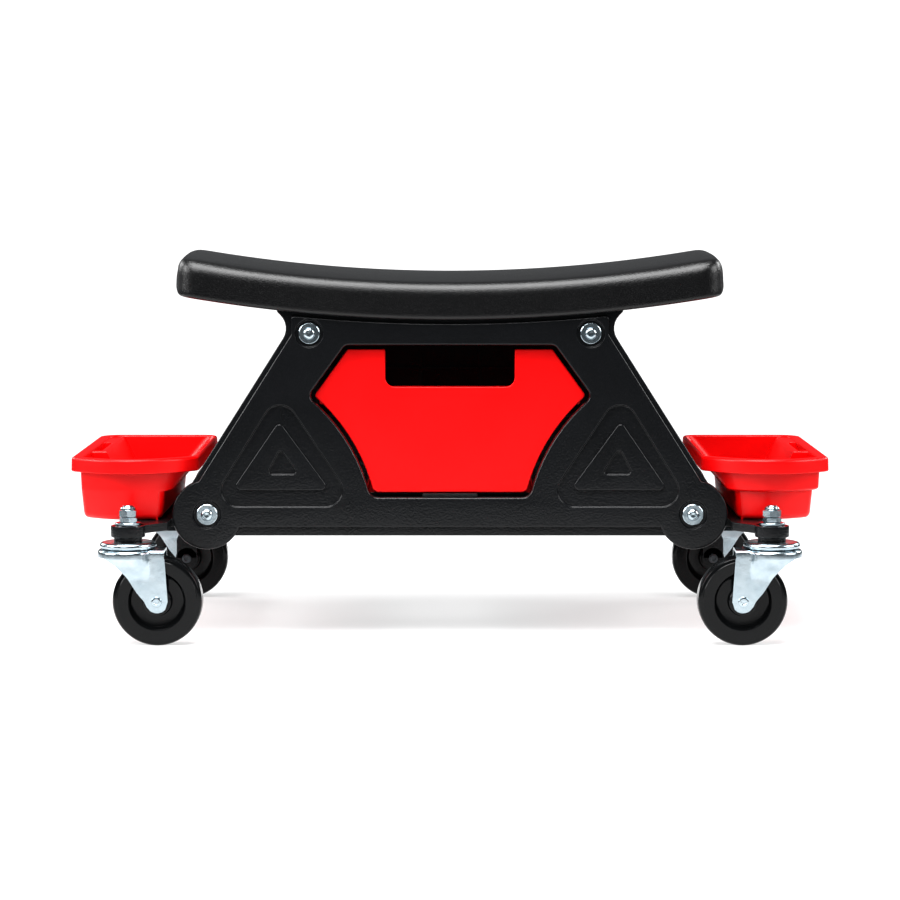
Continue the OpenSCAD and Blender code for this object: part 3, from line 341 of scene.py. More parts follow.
def side_panel(name, opened):
    """One side panel. The back one is the same drawing turned half round."""
    bm = bmesh.new()
    turn = 1 if opened else -1

    def place(u, v, d):
        return (u * turn, d * turn, v)

    bolts = [(side * x, z) for side in (-1, 1) for x, z in (FOOT, EAR_BOLT)]
    sunk = [triangles[0], flipped(triangles[0])] + [ring_points(at, COUNTERBORE_R) for at in bolts]
    if not opened:
        sunk.append(window_edge)
    cut = [window_edge] if opened else []
    plate(bm, face_edge, FACE_Y, FACE_Y + 4, 1.8, cut, [(loop, SUNK) for loop in sunk], place)
    for big, small in ((triangles[1], triangles[2]), (flipped(triangles[1]), flipped(triangles[2]))):
        plate(bm, big, FACE_Y, FACE_Y + 2.6, 1.3, pits=[(small, 1.9)], place=place)
    plate(bm, base_edge, BASE_Y, INNER_Y, 0.9, [moved(face_edge, 3)], place=place)
    if opened:
        plate(bm, moved(window_edge, -3), BASE_Y + 0.5, INNER_Y, 0.5, [window_edge], place=place)
        plate(bm, rounded([(-23.7, 121.9, 0.4), (23.7, 121.9, 0.4), (23.7, 124.7, 1), (-23.7, 124.7, 1)]),
              BASE_Y, INNER_Y - 0.4, 0.4, place=place)
    pillars = [(at, PILLAR_R, SCREW_R) for at in bolts] + [((side * 68, 111.7), 6, 2.6) for side in (-1, 1)]
    for at, r, bore in pillars:
        plate(bm, ring_points(at, r), BASE_Y + 0.5, INNER_Y, 0.4, [ring_points(at, bore, 24)], place=place)
    ribs = []
    for side in (-1, 1):
        for x, spans in ((27.3, ((90, 120), (254, 272))), (75.1, ((90, 133), (254, 272))),
                         (122.9, ((90, 276),)), (166.5, ((90, 219),))):
            if not opened:
                spans = ((90, min(275, spans[-1][1])),)
            ribs += [(side * x, (a + b) / 2, 3, b - a) for a, b in spans]
        for z, low in ((132, 74), (176, 96), (220, 117)):
            high = HEEL[0] - 4 - (z - HEEL[1]) * (HEEL[0] - SHOULDER[0]) / (SHOULDER[1] - HEEL[1])
            low = low if opened else 0
            ribs.append((side * (low + high) / 2, z, high - low, 3))
        ribs.append((side * FOOT[0], FOOT[1], 57, 3))
    for x, z, w, h in ribs:
        bar = oblong(x - w / 2, z - h / 2, x + w / 2, z + h / 2, 0.3, 1)
        plate(bm, bar, BASE_Y + 0.5, INNER_Y - 0.6, 0.4, place=place)
    piece(bm, name, "frame", black, "black_moulding", [name.replace("dressed_", "")])


side_panel("dressed_side_panel_front", True)
side_panel("dressed_side_panel_back", False)

# The drawer: a trough moulded in bright red polypropylene, whose full front fills the window and has a
# hand hold cut in its top edge. It slides out on the shelf behind. Its front is left bare.
DRAWER_GAP, DRAWER_WALL, DRAWER_FRONT, DRAWER_BACK = 3.8, 2.5, -110, 100
HOLD_X, HOLD_BOTTOM, TROUGH_TOP = 55.7, 216.7, 204


def moulded_red():
    """Bright red polypropylene from a polished mould: even deep colour, semi-gloss, faintly rippled."""
    skin, tree, place = finish_of("moulded_red_polypropylene")
    flow = add(tree, "ShaderNodeTexNoise", {"Vector": place, "Scale": 16, "Detail": 2, "Roughness": 0.5})
    tone = add(tree, "ShaderNodeMix", {
        "Factor": flow.outputs["Fac"], "A": linear("#da0306"), "B": linear("#e40508")}, data_type="RGBA")
    gloss = add(tree, "ShaderNodeMapRange", {"Value": flow.outputs["Fac"], "To Min": 0.3, "To Max": 0.4})
    # Ripples of a polished mould, about 4 mm from crest to crest.
    ripple = add(tree, "ShaderNodeTexNoise", {"Vector": place, "Scale": 240, "Detail": 1, "Roughness": 0.4})
    relief = add(tree, "ShaderNodeBump", {"Height": ripple.outputs["Fac"],
                                           "Strength": 0.1, "Distance": 0.0003})
    shader = add(tree, "ShaderNodeBsdfPrincipled", {
        "Base Color": tone.outputs["Result"], "Roughness": gloss.outputs["Result"], "IOR": 1.49,
        "Specular IOR Level": 0.3, "Normal": relief.outputs["Normal"]})
    add(tree, "ShaderNodeOutputMaterial", {"Surface": shader.outputs["BSDF"]})
    return skin


red = moulded_red()


def cut_below(loop, top):
    """The part of an outline below a height, from its left end down and round to its right end."""
    n = len(loop)
    start = next(i for i in range(n) if loop[i - 1].y > top >= loop[i].y)
    out = []
    for k in range(n):
        p = loop[(start + k) % n]
        if p.y > top:
            break
        out.append(p)
    before, after = loop[start - 1], loop[(start + len(out)) % n]
    first = before.lerp(out[0], (before.y - top) / (before.y - out[0].y))
    last = out[-1].lerp(after, (top - out[-1].y) / (after.y - out[-1].y))
    return [first] + out + [last]


bm = bmesh.new()
front_edge = moved(window_edge, DRAWER_GAP)
hand_hold = rounded([(-HOLD_X, HOLD_BOTTOM, 8), (HOLD_X, HOLD_BOTTOM, 8),
                     (HOLD_X, 252, 0), (-HOLD_X, 252, 0)])
top = max(p.y for p in front_edge)
lip = [Vector((HOLD_X + 1.2, top)), Vector((HOLD_X + 0.3, top - 0.4)), Vector((HOLD_X, top - 1.3))]
notch = lip + [p for p in reversed(hand_hold) if p.y < 250] + [Vector((-p.x, p.y)) for p in reversed(lip)]
front = []
for i, p in enumerate(front_edge):
    front.append(p)
    q = front_edge[(i + 1) % len(front_edge)]
    if p.x > HOLD_X and q.x < -HOLD_X and p.y > TROUGH_TOP:
        front += notch
plate(bm, front, DRAWER_FRONT, DRAWER_FRONT + DRAWER_WALL, 1)
trough_out = cut_below(front_edge, TROUGH_TOP)
trough_in = cut_below(moved(front_edge, DRAWER_WALL), TROUGH_TOP)
wall = trough_out + list(reversed(trough_in))
plate(bm, wall, DRAWER_FRONT + 2.1, DRAWER_BACK - 0.2, 0.5)
plate(bm, trough_out, DRAWER_BACK, DRAWER_BACK - DRAWER_WALL, 0.7)
# A bead along the rim stiffens the trough's sides, as on most such drawers.
for side in (-1, 1):
    x = side * (trough_out[-1].x - 1.2)
    plate(bm, ring_points((x, TROUGH_TOP - 0.6), 1.9, 16), DRAWER_FRONT + 2.4, DRAWER_BACK - 0.4, 0.3)
piece(bm, "dressed_drawer", "drawer", red, "red_moulding", ["drawer"])

# The two trays: red polypropylene mouldings with a turned-down rim and a body that steps in below it. A
# tool block with a slot for a tool stands along the outer side. Each tray rests on its caster beam.
TRAY_IN, TRAY_OUT, TRAY_BACK, TRAY_TOP, TRAY_FLOOR = 217.5, 328, 136.5, 155.5, 102.3
STEP_Z, BLOCK_TOP = 126.6, 154


def level(u, v, d):
    """A drawing in X and Y, whose depth runs along Z."""
    return (u, v, d)


def tray_front(x, d):
    """How far a tray's bowed front, moved in by d, lies in front of the middle at x."""
    length = TRAY_OUT - TRAY_IN
    t = (x - TRAY_IN) / length
    slope = (7 + 128 * (1 - t * 2)) / length
    return 97 + 7 * t + 128 * t * (1 - t) - d * math.sqrt(1 + slope * slope)


def tray_outline(in_x, d, r, back_r):
    """The plan of a tray at one height, moved in by d: its front bows outwards and its back is straight."""
    out_x = TRAY_OUT - d
    front = [in_x + (out_x - in_x) * k / 16 for k in range(1, 16)]
    return rounded([(in_x, -tray_front(in_x, d), r)] + [(x, -tray_front(x, d), 0) for x in front]
                   + [(out_x, -tray_front(out_x, d), r), (out_x, TRAY_BACK - d, back_r),
                      (in_x, TRAY_BACK - d, r)])


def between(a, b, share):
    """An outline part of the way from one outline to another."""
    return [p.lerp(q, share) for p, q in zip(a, b)]


def tray(side, step_out):
    """One tray. The lower walls of the right one stand further in, by step_out, except the inner one."""
    bm = bmesh.new()
    name = "left" if side < 0 else "right"
    rim = tray_outline(TRAY_IN, 0, 14, 20)

    def body(in_x, d):
        return tray_outline(in_x + d, 7.5 + d, 10, 12.5)

    low, low_top = body(245 - step_out, 3 + step_out), body(245 - step_out, 1.2 + step_out)
    high = body(237, 1.05)
    low_in, low_in_top = body(245 - step_out, 5.6 + step_out), body(245 - step_out, 4 + step_out)
    high_in, mouth = body(237, 3.8), body(218.6, 2.6)
    arcs = [math.pi / 2 * k / 4 for k in range(5)]
    rings = [(moved(low, 5 * (1 - math.sin(a))), TRAY_FLOOR + 5 * (1 - math.cos(a))) for a in arcs]
    rings += [(between(low_top, high, math.sin(a)), STEP_Z + 2.4 * (1 - math.cos(a))) for a in arcs]
    rings += [(moved(body(224, 0), 0.3), 146.5), (moved(body(221.2, 0), -0.5), 152.6), (moved(rim, 3), 152.9)]
    rings += [(moved(rim, d), z) for d, z in ((2.6, 152.3), (2.6, 144), (2.3, 143.2), (1.3, 143),
                                              (0.5, 143.3), (0.15, 144))]
    rings += [(moved(rim, 0.4 + 2.4 * (1 - math.cos(a))), TRAY_TOP - 2.4 + 2.4 * math.sin(a)) for a in arcs]
    rings += [(moved(mouth, -1.6 * (1 - math.sin(a))), TRAY_TOP - 1.6 * (1 - math.cos(a))) for a in arcs]
    rings += [(between(high_in, low_in_top, 1 - math.cos(a)), 130.7 - 1.5 * math.sin(a)) for a in arcs]
    rings += [(low_in_top, 128.4)]
    rings += [(moved(low_in, 4 * (1 - math.cos(a))), TRAY_FLOOR + 7 - 4 * math.sin(a)) for a in arcs]
    first, last = skinned(bm, [[(p.x, p.y, z) for p in loop] for loop, z in rings])
    lid(bm, first)
    lid(bm, last)

    # The tool block is moulded in one with the tray's walls, so its outer sides run inside them.
    def block_ring(z, inset):
        x0 = TRAY_OUT - 22.5 - 26 * (BLOCK_TOP - z) / 51.7 + inset
        y0 = -28 + inset - (BLOCK_TOP - z) * 0.02
        deep = 2 if z > 128 else 2.6 + step_out + (STEP_Z - z) * 0.07
        right, back = TRAY_OUT - 7.5 - deep, 129 - deep
        turn = [(right - 11 + 11 * math.cos(a), back - 11 + 11 * math.sin(a)) for a in arcs]
        return [(x, y, z) for x, y in [(x0, y0), (right, y0)] + turn + [(x0, back)]]

    rounding = [(BLOCK_TOP - 1.8 * (1 - math.sin(a)), 1.8 * (1 - math.cos(a))) for a in reversed(arcs)]
    block = [block_ring(z, d) for z, d in rounding]
    block += [block_ring(z, 0) for z in (145, 135, 128.2, 127.8, 118, 104)]
    top, base = skinned(bm, block)
    lid(bm, base)
    slot = oblong(309.9, -23, 317.9, 63, 2)
    slot_rings = [(moved(slot, -0.5 * (1 - math.sin(a))), BLOCK_TOP - 0.5 * (1 - math.cos(a))) for a in arcs]
    slot_rings += [(moved(slot, 0.4), 140)]
    edge, bottom = skinned(bm, [[(p.x, p.y, z) for p in loop] for loop, z in slot_rings])
    lid(bm, top, edge)
    lid(bm, bottom)
    bmesh.ops.scale(bm, vec=(side, 1, 1), verts=bm.verts)
    piece(bm, f"dressed_tray_{name}", f"tray_{name}", red, "red_moulding", [f"tray_{name}"])


tray(-1, 0)
tray(1, 5)

# The caster beams: black polypropylene cross members, each with a plate, two arms that end in a round bush
# for a caster stem, and a tube across that the lower panel screws go into. Ribs stiffen the plate below.
BUSH = (273.5, 155.0)
BEAM_TOP = 102


def lathed(bm, profile, at, axis="Z", count=64, closed=True):
    """A turned shape: its profile is (radius, height) pairs, and at is its centre on the axis."""
    rings = []
    for r, h in profile:
        ring = []
        for k in range(count):
            c, s = r * math.cos(math.tau * k / count), r * math.sin(math.tau * k / count)
            out = (c, s, h) if axis == "Z" else (c, h, s)
            ring.append(tuple(a + b for a, b in zip(at, out)))
        rings.append(ring)
    first, last = skinned(bm, rings, closed)
    if not closed:
        lid(bm, first)
        lid(bm, last)


def strip_tree():
    """Ribs in a row: bars of a given size, set out evenly along Y."""
    tree = bpy.data.node_groups.new("plate_ribs", "GeometryNodeTree")
    for label, kind in (("Geometry", "Geometry"), ("Count", "Int"), ("Pitch", "Float"), ("Length", "Float"),
                        ("Width", "Float"), ("Height", "Float"), ("Finish", "Material")):
        tree.interface.new_socket(label, in_out="INPUT", socket_type=f"NodeSocket{kind}")
    tree.interface.new_socket("Geometry", in_out="OUTPUT", socket_type="NodeSocketGeometry")
    given = add(tree, "NodeGroupInput").outputs
    size = add(tree, "ShaderNodeCombineXYZ",
               {"X": given["Length"], "Y": given["Width"], "Z": given["Height"]})
    bar = add(tree, "GeometryNodeMeshCube", {"Size": size.outputs[0]})
    step = add(tree, "ShaderNodeCombineXYZ", {"Y": given["Pitch"]})
    row = add(tree, "GeometryNodeMeshLine", {"Count": given["Count"], "Offset": step.outputs[0]})
    back = add(tree, "ShaderNodeMath", {0: given["Count"], 1: -0.5}, operation="MULTIPLY")
    half = add(tree, "ShaderNodeMath", {0: back.outputs[0], 1: 0.5})
    shift = add(tree, "ShaderNodeMath", {0: half.outputs[0], 1: given["Pitch"]}, operation="MULTIPLY")
    moved_by = add(tree, "ShaderNodeCombineXYZ", {"Y": shift.outputs[0]})
    points = add(tree, "GeometryNodeInstanceOnPoints",
                 {"Points": row.outputs[0], "Instance": bar.outputs["Mesh"]})
    centred = add(tree, "GeometryNodeTransform",
                  {"Geometry": points.outputs[0], "Translation": moved_by.outputs[0]})
    real = add(tree, "GeometryNodeRealizeInstances", {"Geometry": centred.outputs[0]})
    coated = add(tree, "GeometryNodeSetMaterial", {"Geometry": real.outputs[0], "Material": given["Finish"]})
    add(tree, "NodeGroupOutput", {"Geometry": coated.outputs[0]})
    return tree


def grown(name, tree, points, inputs, turns=None):
    """Runs a node tree on points, in metres, and returns the result as a plain mesh object."""
    seed = bpy.data.meshes.new(name)
    seed.from_pydata(points, [], [])
    if turns:
        kept = seed.attributes.new("turn", "FLOAT_VECTOR", "POINT")
        kept.data.foreach_set("vector", [v for t in turns for v in t])
    holder = bpy.data.objects.new(name, seed)
    bpy.context.scene.collection.objects.link(holder)
    grow = holder.modifiers.new("grown", "NODES")
    grow.node_group = tree
    for socket in tree.interface.items_tree:
        if socket.name in inputs and socket.in_out == "INPUT":
            grow[socket.identifier] = inputs[socket.name]
    view = bpy.context.evaluated_depsgraph_get()
    mesh = bpy.data.meshes.new_from_object(holder.evaluated_get(view))
    bpy.data.objects.remove(holder)
    mesh.name = name
    return bpy.data.objects.new(name, mesh)


def cross_tube(bm, r, at):
    """A tube that runs between the panels and takes a panel screw at each end."""
    half = [(3.2, 103.8), (r - 0.6, 103.8), (r, 103.2)]
    lathed(bm, [(x, -y) for x, y in half] + list(reversed(half)), (at[0], 0, at[1]), "Y", 48)


ribs_below = strip_tree()
for side, name in ((-1, "left"), (1, "right")):
    bm = bmesh.new()
    arm = FOOT[0] + 32
    back_half = [(262, 74.6, 30), (286.7, 155, 0), (273.5, 155, 0), (261.7, 158, 0), (arm, 132.7, 5),
                 (arm, 103, 0), (197, 103, 0)]
    outline = rounded([(x, -y, r) for x, y, r in reversed(back_half)] + back_half)
    plate(bm, outline, BEAM_TOP, BEAM_TOP - 7.2, 0.9, place=level)
    for y in (-BUSH[1], BUSH[1]):
        lathed(bm, [(4.9, 0), (13.6, 0), (14.4, 0.3), (14.7, 1.1),
                    (14.7, 8.9), (14.4, 9.7), (13.6, 10), (4.9, 10)], (BUSH[0], y, BEAM_TOP - 10))
        lathed(bm, [(4.9, 0), (11.2, 0), (12, 0.6), (12, 4.2), (4.9, 4.2)], (BUSH[0], y, BEAM_TOP - 13.8))
    cross_tube(bm, 12, FOOT)
    bmesh.ops.scale(bm, vec=(side, 1, 1), verts=bm.verts)
    piece(bm, f"dressed_caster_beam_{name}", "frame", black, "black_moulding", [f"caster_beam_{name}"])
    ribs = grown(f"beam_ribs_{name}", ribs_below, [(0, 0, 0)], {
        "Count": 5, "Pitch": 0.0416, "Length": 0.060, "Width": 0.003, "Height": 0.006, "Finish": black})
    ribs.data.transform(Matrix.Translation((side * 0.2285, 0, 0.0922)))
    finished(ribs, "frame", black, "black_moulding")

# The seat brackets: black polypropylene cross members under each end of the seat board, with a tube that
# the upper panel screws go into. They stand between the panels, and seat screws come up through them.
for side, name in ((-1, "left"), (1, "right")):
    bm = bmesh.new()
    flange = rounded([(72, 268, 1), (134, 268, 1)]
                     + [(72 + 62 * k / 6, under_seat(72 + 62 * k / 6) - 0.2, 0) for k in range(6, -1, -1)])
    plate(bm, flange, -103.9, 103.9, 0.5)
    cross_tube(bm, 11, EAR_BOLT)
    bmesh.ops.scale(bm, vec=(side, 1, 1), verts=bm.verts)
    piece(bm, f"dressed_seat_bracket_{name}", "frame", black, "black_moulding", [f"seat_bracket_{name}"])

# The drawer shelf: a black polypropylene tray turned upside down, with a guide rail for the drawer along
# each side. It is screwed to both panels and the drawer slides on it.
SHELF_X, SHELF_Y, SHELF_TOP = 79, 104, 124.9
bm = bmesh.new()
deck = [Vector((x * SHELF_X, y * SHELF_Y)) for x, y in ((-1, -1), (1, -1), (1, 1), (-1, 1))]
plate(bm, deck, SHELF_TOP, SHELF_TOP - 3, 0.5, place=level)
for side in (-1, 1):
    for x, low, high in ((77.5, 102.9, 124), (72.4, 124.4, 129.9)):
        x0, x1 = side * x - 1.5, side * x + 1.5
        rail = rounded([(x0, low, 0.4), (x1, low, 0.4), (x1, high, 0.8), (x0, high, 0.8)], 2)
        plate(bm, rail, -103.9, 103.9, 0.4)
    plate(bm, oblong(-SHELF_X, 102.9, SHELF_X, 124, 1, 2), side * 103.9, side * 101, 0.4)
piece(bm, "dressed_drawer_shelf", "frame", black, "black_moulding", ["drawer_shelf"])

# The seat board: bent birch plywood stained black, let into the cushion's underside. The cushion is glued
# and stapled to it, and it rests on the brackets.


def stained_plywood():
    """Black-stained plywood: dull brown-black, long grain on the face and pale glue lines at the edge."""
    skin, tree, place = finish_of("stained_birch_plywood")
    along = add(tree, "ShaderNodeMapping", {"Vector": place, "Scale": (6, 90, 420)})
    grain = add(tree, "ShaderNodeTexNoise",
                {"Vector": along.outputs[0], "Scale": 2, "Detail": 4, "Roughness": 0.6})
    tone = add(tree, "ShaderNodeMix", {
        "Factor": grain.outputs["Fac"], "A": linear("#15120f"), "B": linear("#2b241d")}, data_type="RGBA")
    relief = add(tree, "ShaderNodeBump", {"Height": grain.outputs["Fac"],
                                           "Strength": 0.3, "Distance": 0.0003})
    shader = add(tree, "ShaderNodeBsdfPrincipled", {
        "Base Color": tone.outputs["Result"], "Roughness": 0.7, "Specular IOR Level": 0.2,
        "Normal": relief.outputs["Normal"]})
    add(tree, "ShaderNodeOutputMaterial", {"Surface": shader.outputs["BSDF"]})
    return skin


def refinish(node, skin):
    """Gives a CAD node its detailed material."""
    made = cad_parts[node]
    made.data.materials.clear()
    made.data.materials.append(skin)


refinish("seat_board", stained_plywood())

# The cushion: a saddle-shaped slab of firm foam under black grained vinyl, pulled tight over the board's
# edge and stapled below. It is crowned across, its long sides draw in a little and its ends are rounded.
SEAT_L, SEAT_W, SEAT_T = 474.6, 250.0, 31.0


def seat_shell(slack, rows=91, steps=8):
    """The cushion's shape, smaller than the finished one by the slack, as a closed mesh of even quads. The
    cover's lower edge hangs a little lower than the board."""
    bm = bmesh.new()
    corner_r, end_r, side_r, hem_r = 22, 11, 12, 5
    half_l = SEAT_L / 2 - slack
    rings = []
    for k in range(rows):
        t = 2 * k / (rows - 1) - 1
        x = half_l * (math.sin(math.pi / 2 * t) * 0.5 + t * 0.5)
        past = max(abs(x) - (half_l - corner_r), 0)
        edge = max(abs(x) - (half_l - end_r), 0)
        w = SEAT_W / 2 - slack - 2 * (1 - (x * 2 / SEAT_L) ** 2) - corner_r
        w += math.sqrt(max(corner_r ** 2 - past ** 2, 0))
        h = SEAT_T - slack - end_r + math.sqrt(max(end_r ** 2 - edge ** 2, 0))
        lift = hem_r - math.sqrt(max(hem_r ** 2 - max(abs(x) - (half_l - hem_r), 0) ** 2, 0))
        top = w - side_r
        section = [(top * share, 0.4) for share in (0.1, 0.3, 0.5, 0.7, 0.9)]
        section += [(w - 11, 0.2), (w - 8.5, -1), (w - 6.5, -2.3)]
        section += [(w - 4 + 4 * math.sin(a), 1.2 - 4 * math.cos(a)) for a in (0, 0.4, 0.8, 1.2, 1.57)]
        section = [(y, z + lift) for y, z in section]
        section += [(w, 1.2 + lift + (h - (side_r + 1.2) - lift) * share) for share in (0.33, 0.67)]
        section += [(top + side_r * math.cos(a), h - side_r + side_r * math.sin(a)) for a in
                    [math.pi / 2 * k / steps for k in range(steps + 1)]]
        section += [(top * share, h + 4.4 * (1 - share ** 2) * h / SEAT_T)
                    for share in (0.93, 0.86, 0.78, 0.7, 0.6, 0.5, 0.4, 0.3, 0.2, 0.1)]
        whole = section + [(-y, z) for y, z in reversed(section)]
        rings.append([(x, y, under_seat(x) + 0.3 + z) for y, z in whole])
    for end in (0, -1):
        rim = [Vector(p) for p in rings[end]]
        middle = Vector((rim[0].x, 0, sum(p.z for p in rim) / len(rim)))
        steps_in = [[p.lerp(middle, share) for p in rim] for share in (0.25, 0.5, 0.75, 0.97)]
        rings = list(reversed(steps_in)) + rings if end == 0 else rings + steps_in
    first, last = skinned(bm, rings)
    bm.faces.new(first)
    bm.faces.new(last)
    bmesh.ops.recalc_face_normals(bm, faces=bm.faces)
    bmesh.ops.scale(bm, vec=(0.001,) * 3, verts=bm.verts)
    return bm


def inflated(made, pinned, cap):
    """Swells a closed mesh like foam under a tight cover: no point moves further than cap, in metres."""
    rest = [v.co.copy() for v in made.data.vertices]
    group = made.vertex_groups.new(name="held")
    group.add([v.index for v in made.data.vertices if pinned(v.co)], 1, "REPLACE")
    cloth = made.modifiers.new("cover", "CLOTH")
    cloth.settings.vertex_group_mass = "held"
    cloth.settings.use_pressure = True
    cloth.settings.uniform_pressure_force = 4
    cloth.settings.effector_weights.gravity = 0
    cloth.settings.tension_stiffness = 18
    cloth.settings.compression_stiffness = 18
    cloth.settings.bending_stiffness = 6
    cloth.settings.quality = 5
    scene = bpy.context.scene
    for now in range(1, 21):
        scene.frame_set(now)
    view = bpy.context.evaluated_depsgraph_get()
    swollen = [v.co.copy() for v in made.evaluated_get(view).data.vertices]
    made.modifiers.remove(cloth)
    for v, old, new in zip(made.data.vertices, rest, swollen):
        step = new - old
        v.co = old + step * min(1, cap / max(step.length, 1e-9))
    scene.frame_set(1)


def grained_vinyl():
    """Black upholstery vinyl: soft leather-like pebbles, low sheen, gloss broken by the grain."""
    skin, tree, place = finish_of("grained_black_vinyl")
    # Pebbles of leather grain, 1.5 mm across, with finer wrinkles between them.
    warp = add(tree, "ShaderNodeTexNoise", {"Vector": place, "Scale": 420, "Detail": 2})
    bent = add(tree, "ShaderNodeMix", {"Factor": 0.0016, "A": place, "B": warp.outputs["Color"]},
               data_type="RGBA", blend_type="LINEAR_LIGHT")
    pebbles = add(tree, "ShaderNodeTexVoronoi", {"Vector": bent.outputs["Result"], "Scale": 640},
                  feature="DISTANCE_TO_EDGE")
    height = add(tree, "ShaderNodeMapRange", {"Value": pebbles.outputs["Distance"], "From Max": 0.35})
    soft = add(tree, "ShaderNodeTexNoise", {"Vector": place, "Scale": 26, "Detail": 2})
    # The grooves between the pebbles are painted darker than the pebbles' tops: painted shade in the grain's
    # hollows.
    tone = add(tree, "ShaderNodeMix", {
        "Factor": height.outputs["Result"], "A": linear("#070708"), "B": linear("#0c0c0d")}, data_type="RGBA")
    gloss = add(tree, "ShaderNodeMapRange", {"Value": soft.outputs["Fac"], "To Min": 0.27, "To Max": 0.35})
    relief = add(tree, "ShaderNodeBump", {"Height": height.outputs["Result"],
                                           "Strength": 0.35, "Distance": 0.0002})
    shader = add(tree, "ShaderNodeBsdfPrincipled", {
        "Base Color": tone.outputs["Result"], "Roughness": gloss.outputs["Result"], "IOR": 1.5,
        "Specular IOR Level": 0.42, "Sheen Weight": 0.03, "Normal": relief.outputs["Normal"]})
    add(tree, "ShaderNodeOutputMaterial", {"Surface": shader.outputs["BSDF"]})
    return skin


mesh = bpy.data.meshes.new("cushion")
seat_shell(0.3).to_mesh(mesh)
cushion = bpy.data.objects.new("vinyl_cushion", mesh)
bpy.context.scene.collection.objects.link(cushion)
inflated(cushion, lambda p: p.z * 1000 < under_seat(p.x * 1000) + 1.5, 0.0009)
bm = bmesh.new()
bm.from_mesh(cushion.data)
for _ in range(3):
    bmesh.ops.smooth_vert(bm, verts=bm.verts, factor=0.5, use_axis_x=True, use_axis_y=True, use_axis_z=True)
bm.to_mesh(cushion.data)
bm.free()
smooth = cushion.modifiers.new("smooth", "SUBSURF")
smooth.levels = 1
smooth.render_levels = 1
cushion.data.polygons.foreach_set("use_smooth", [True] * len(cushion.data.polygons))
cushion.data.materials.clear()
cushion.data.materials.append(grained_vinyl())
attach(cushion, "frame")
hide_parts("seat_cushion")

# The casters' bright parts: pressed steel forks and raceways with bright zinc plate, on threaded stems
# held by a washer, a plain nut and a lock nut. The forks hang on balls and turn about the stem.
AXLE_Z, TRAIL = 38.0, 25.0
CROWN_R, CROWN_TOP, SKIRT_Z, LEG_Y, LEVER_Y, SHEET = 26, 82, 75.5, 15.2, 18, 2.4
CORNERS = [(side, end, f"{'back' if end > 0 else 'front'}_{'right' if side > 0 else 'left'}")
           for side in (-1, 1) for end in (-1, 1)]


def bright_zinc():
    """Bright zinc plate over pressed steel: bluish, glossy, with a faint cloudiness left by the bath."""
    skin, tree, place = finish_of("bright_zinc_plate")
    cloud = add(tree, "ShaderNodeTexNoise", {"Vector": place, "Scale": 70, "Detail": 4, "Roughness": 0.6})
    tone = add(tree, "ShaderNodeMix", {
        "Factor": cloud.outputs["Fac"], "A": linear("#8fa0a9"), "B": linear("#cbd6db")}, data_type="RGBA")
    gloss = add(tree, "ShaderNodeMapRange", {"Value": cloud.outputs["Fac"], "To Min": 0.16, "To Max": 0.28})
    # Drawing marks of the press, about 5 mm apart.
    marks = add(tree, "ShaderNodeTexNoise", {"Vector": place, "Scale": 190, "Detail": 2, "Roughness": 0.5})
    relief = add(tree, "ShaderNodeBump", {"Height": marks.outputs["Fac"],
                                           "Strength": 0.16, "Distance": 0.0004})
    shader = add(tree, "ShaderNodeBsdfPrincipled", {
        "Base Color": tone.outputs["Result"], "Roughness": gloss.outputs["Result"], "Metallic": 1,
        "Normal": relief.outputs["Normal"]})
    add(tree, "ShaderNodeOutputMaterial", {"Surface": shader.outputs["BSDF"]})
    return skin


def oiled_steel():
    """Plain drawn steel with a film of oil: dark grey, brushed along its turning."""
    skin, tree, place = finish_of("oiled_drawn_steel")
    lines = add(tree, "ShaderNodeTexNoise", {"Vector": place, "Scale": 300, "Detail": 4})
    tone = add(tree, "ShaderNodeMix", {
        "Factor": lines.outputs["Fac"], "A": linear("#3c3f42"), "B": linear("#585c5f")}, data_type="RGBA")
    gloss = add(tree, "ShaderNodeMapRange", {"Value": lines.outputs["Fac"], "To Min": 0.25, "To Max": 0.45})
    shader = add(tree, "ShaderNodeBsdfPrincipled", {
        "Base Color": tone.outputs["Result"], "Roughness": gloss.outputs["Result"], "Metallic": 1})
    add(tree, "ShaderNodeOutputMaterial", {"Surface": shader.outputs["BSDF"]})
    return skin


zinc = bright_zinc()
steel = oiled_steel()


def leg_bottom(x):
    """The height of a fork leg's lower edge, in its own frame, from a side view of its outline."""
    corners = rounded([(-25.5, 75.4, 0), (-17.5, 75.2, 4), (-9.5, 70.3, 6), (1, 58.3, 20), (8.4, 46, 20),
                       (15.2, 37.5, 3), (25, 28.5, 0), (34.5, 38, 0), (36, 90, 0), (-25.5, 90, 0)], 8)
    foot = AXLE_Z - math.sqrt(max(9.5 ** 2 - (x - TRAIL) ** 2, 0)) if abs(x - TRAIL) < 9.5 else 90
    low = 90
    for a, b in zip(corners, corners[1:] + corners[:1]):
        if min(a.x, b.x) <= x <= max(a.x, b.x) and a.x < b.x:
            low = min(low, a.y + (b.y - a.y) * (x - a.x) / (b.x - a.x))
    return min(low, foot) if x > 16.2 else low


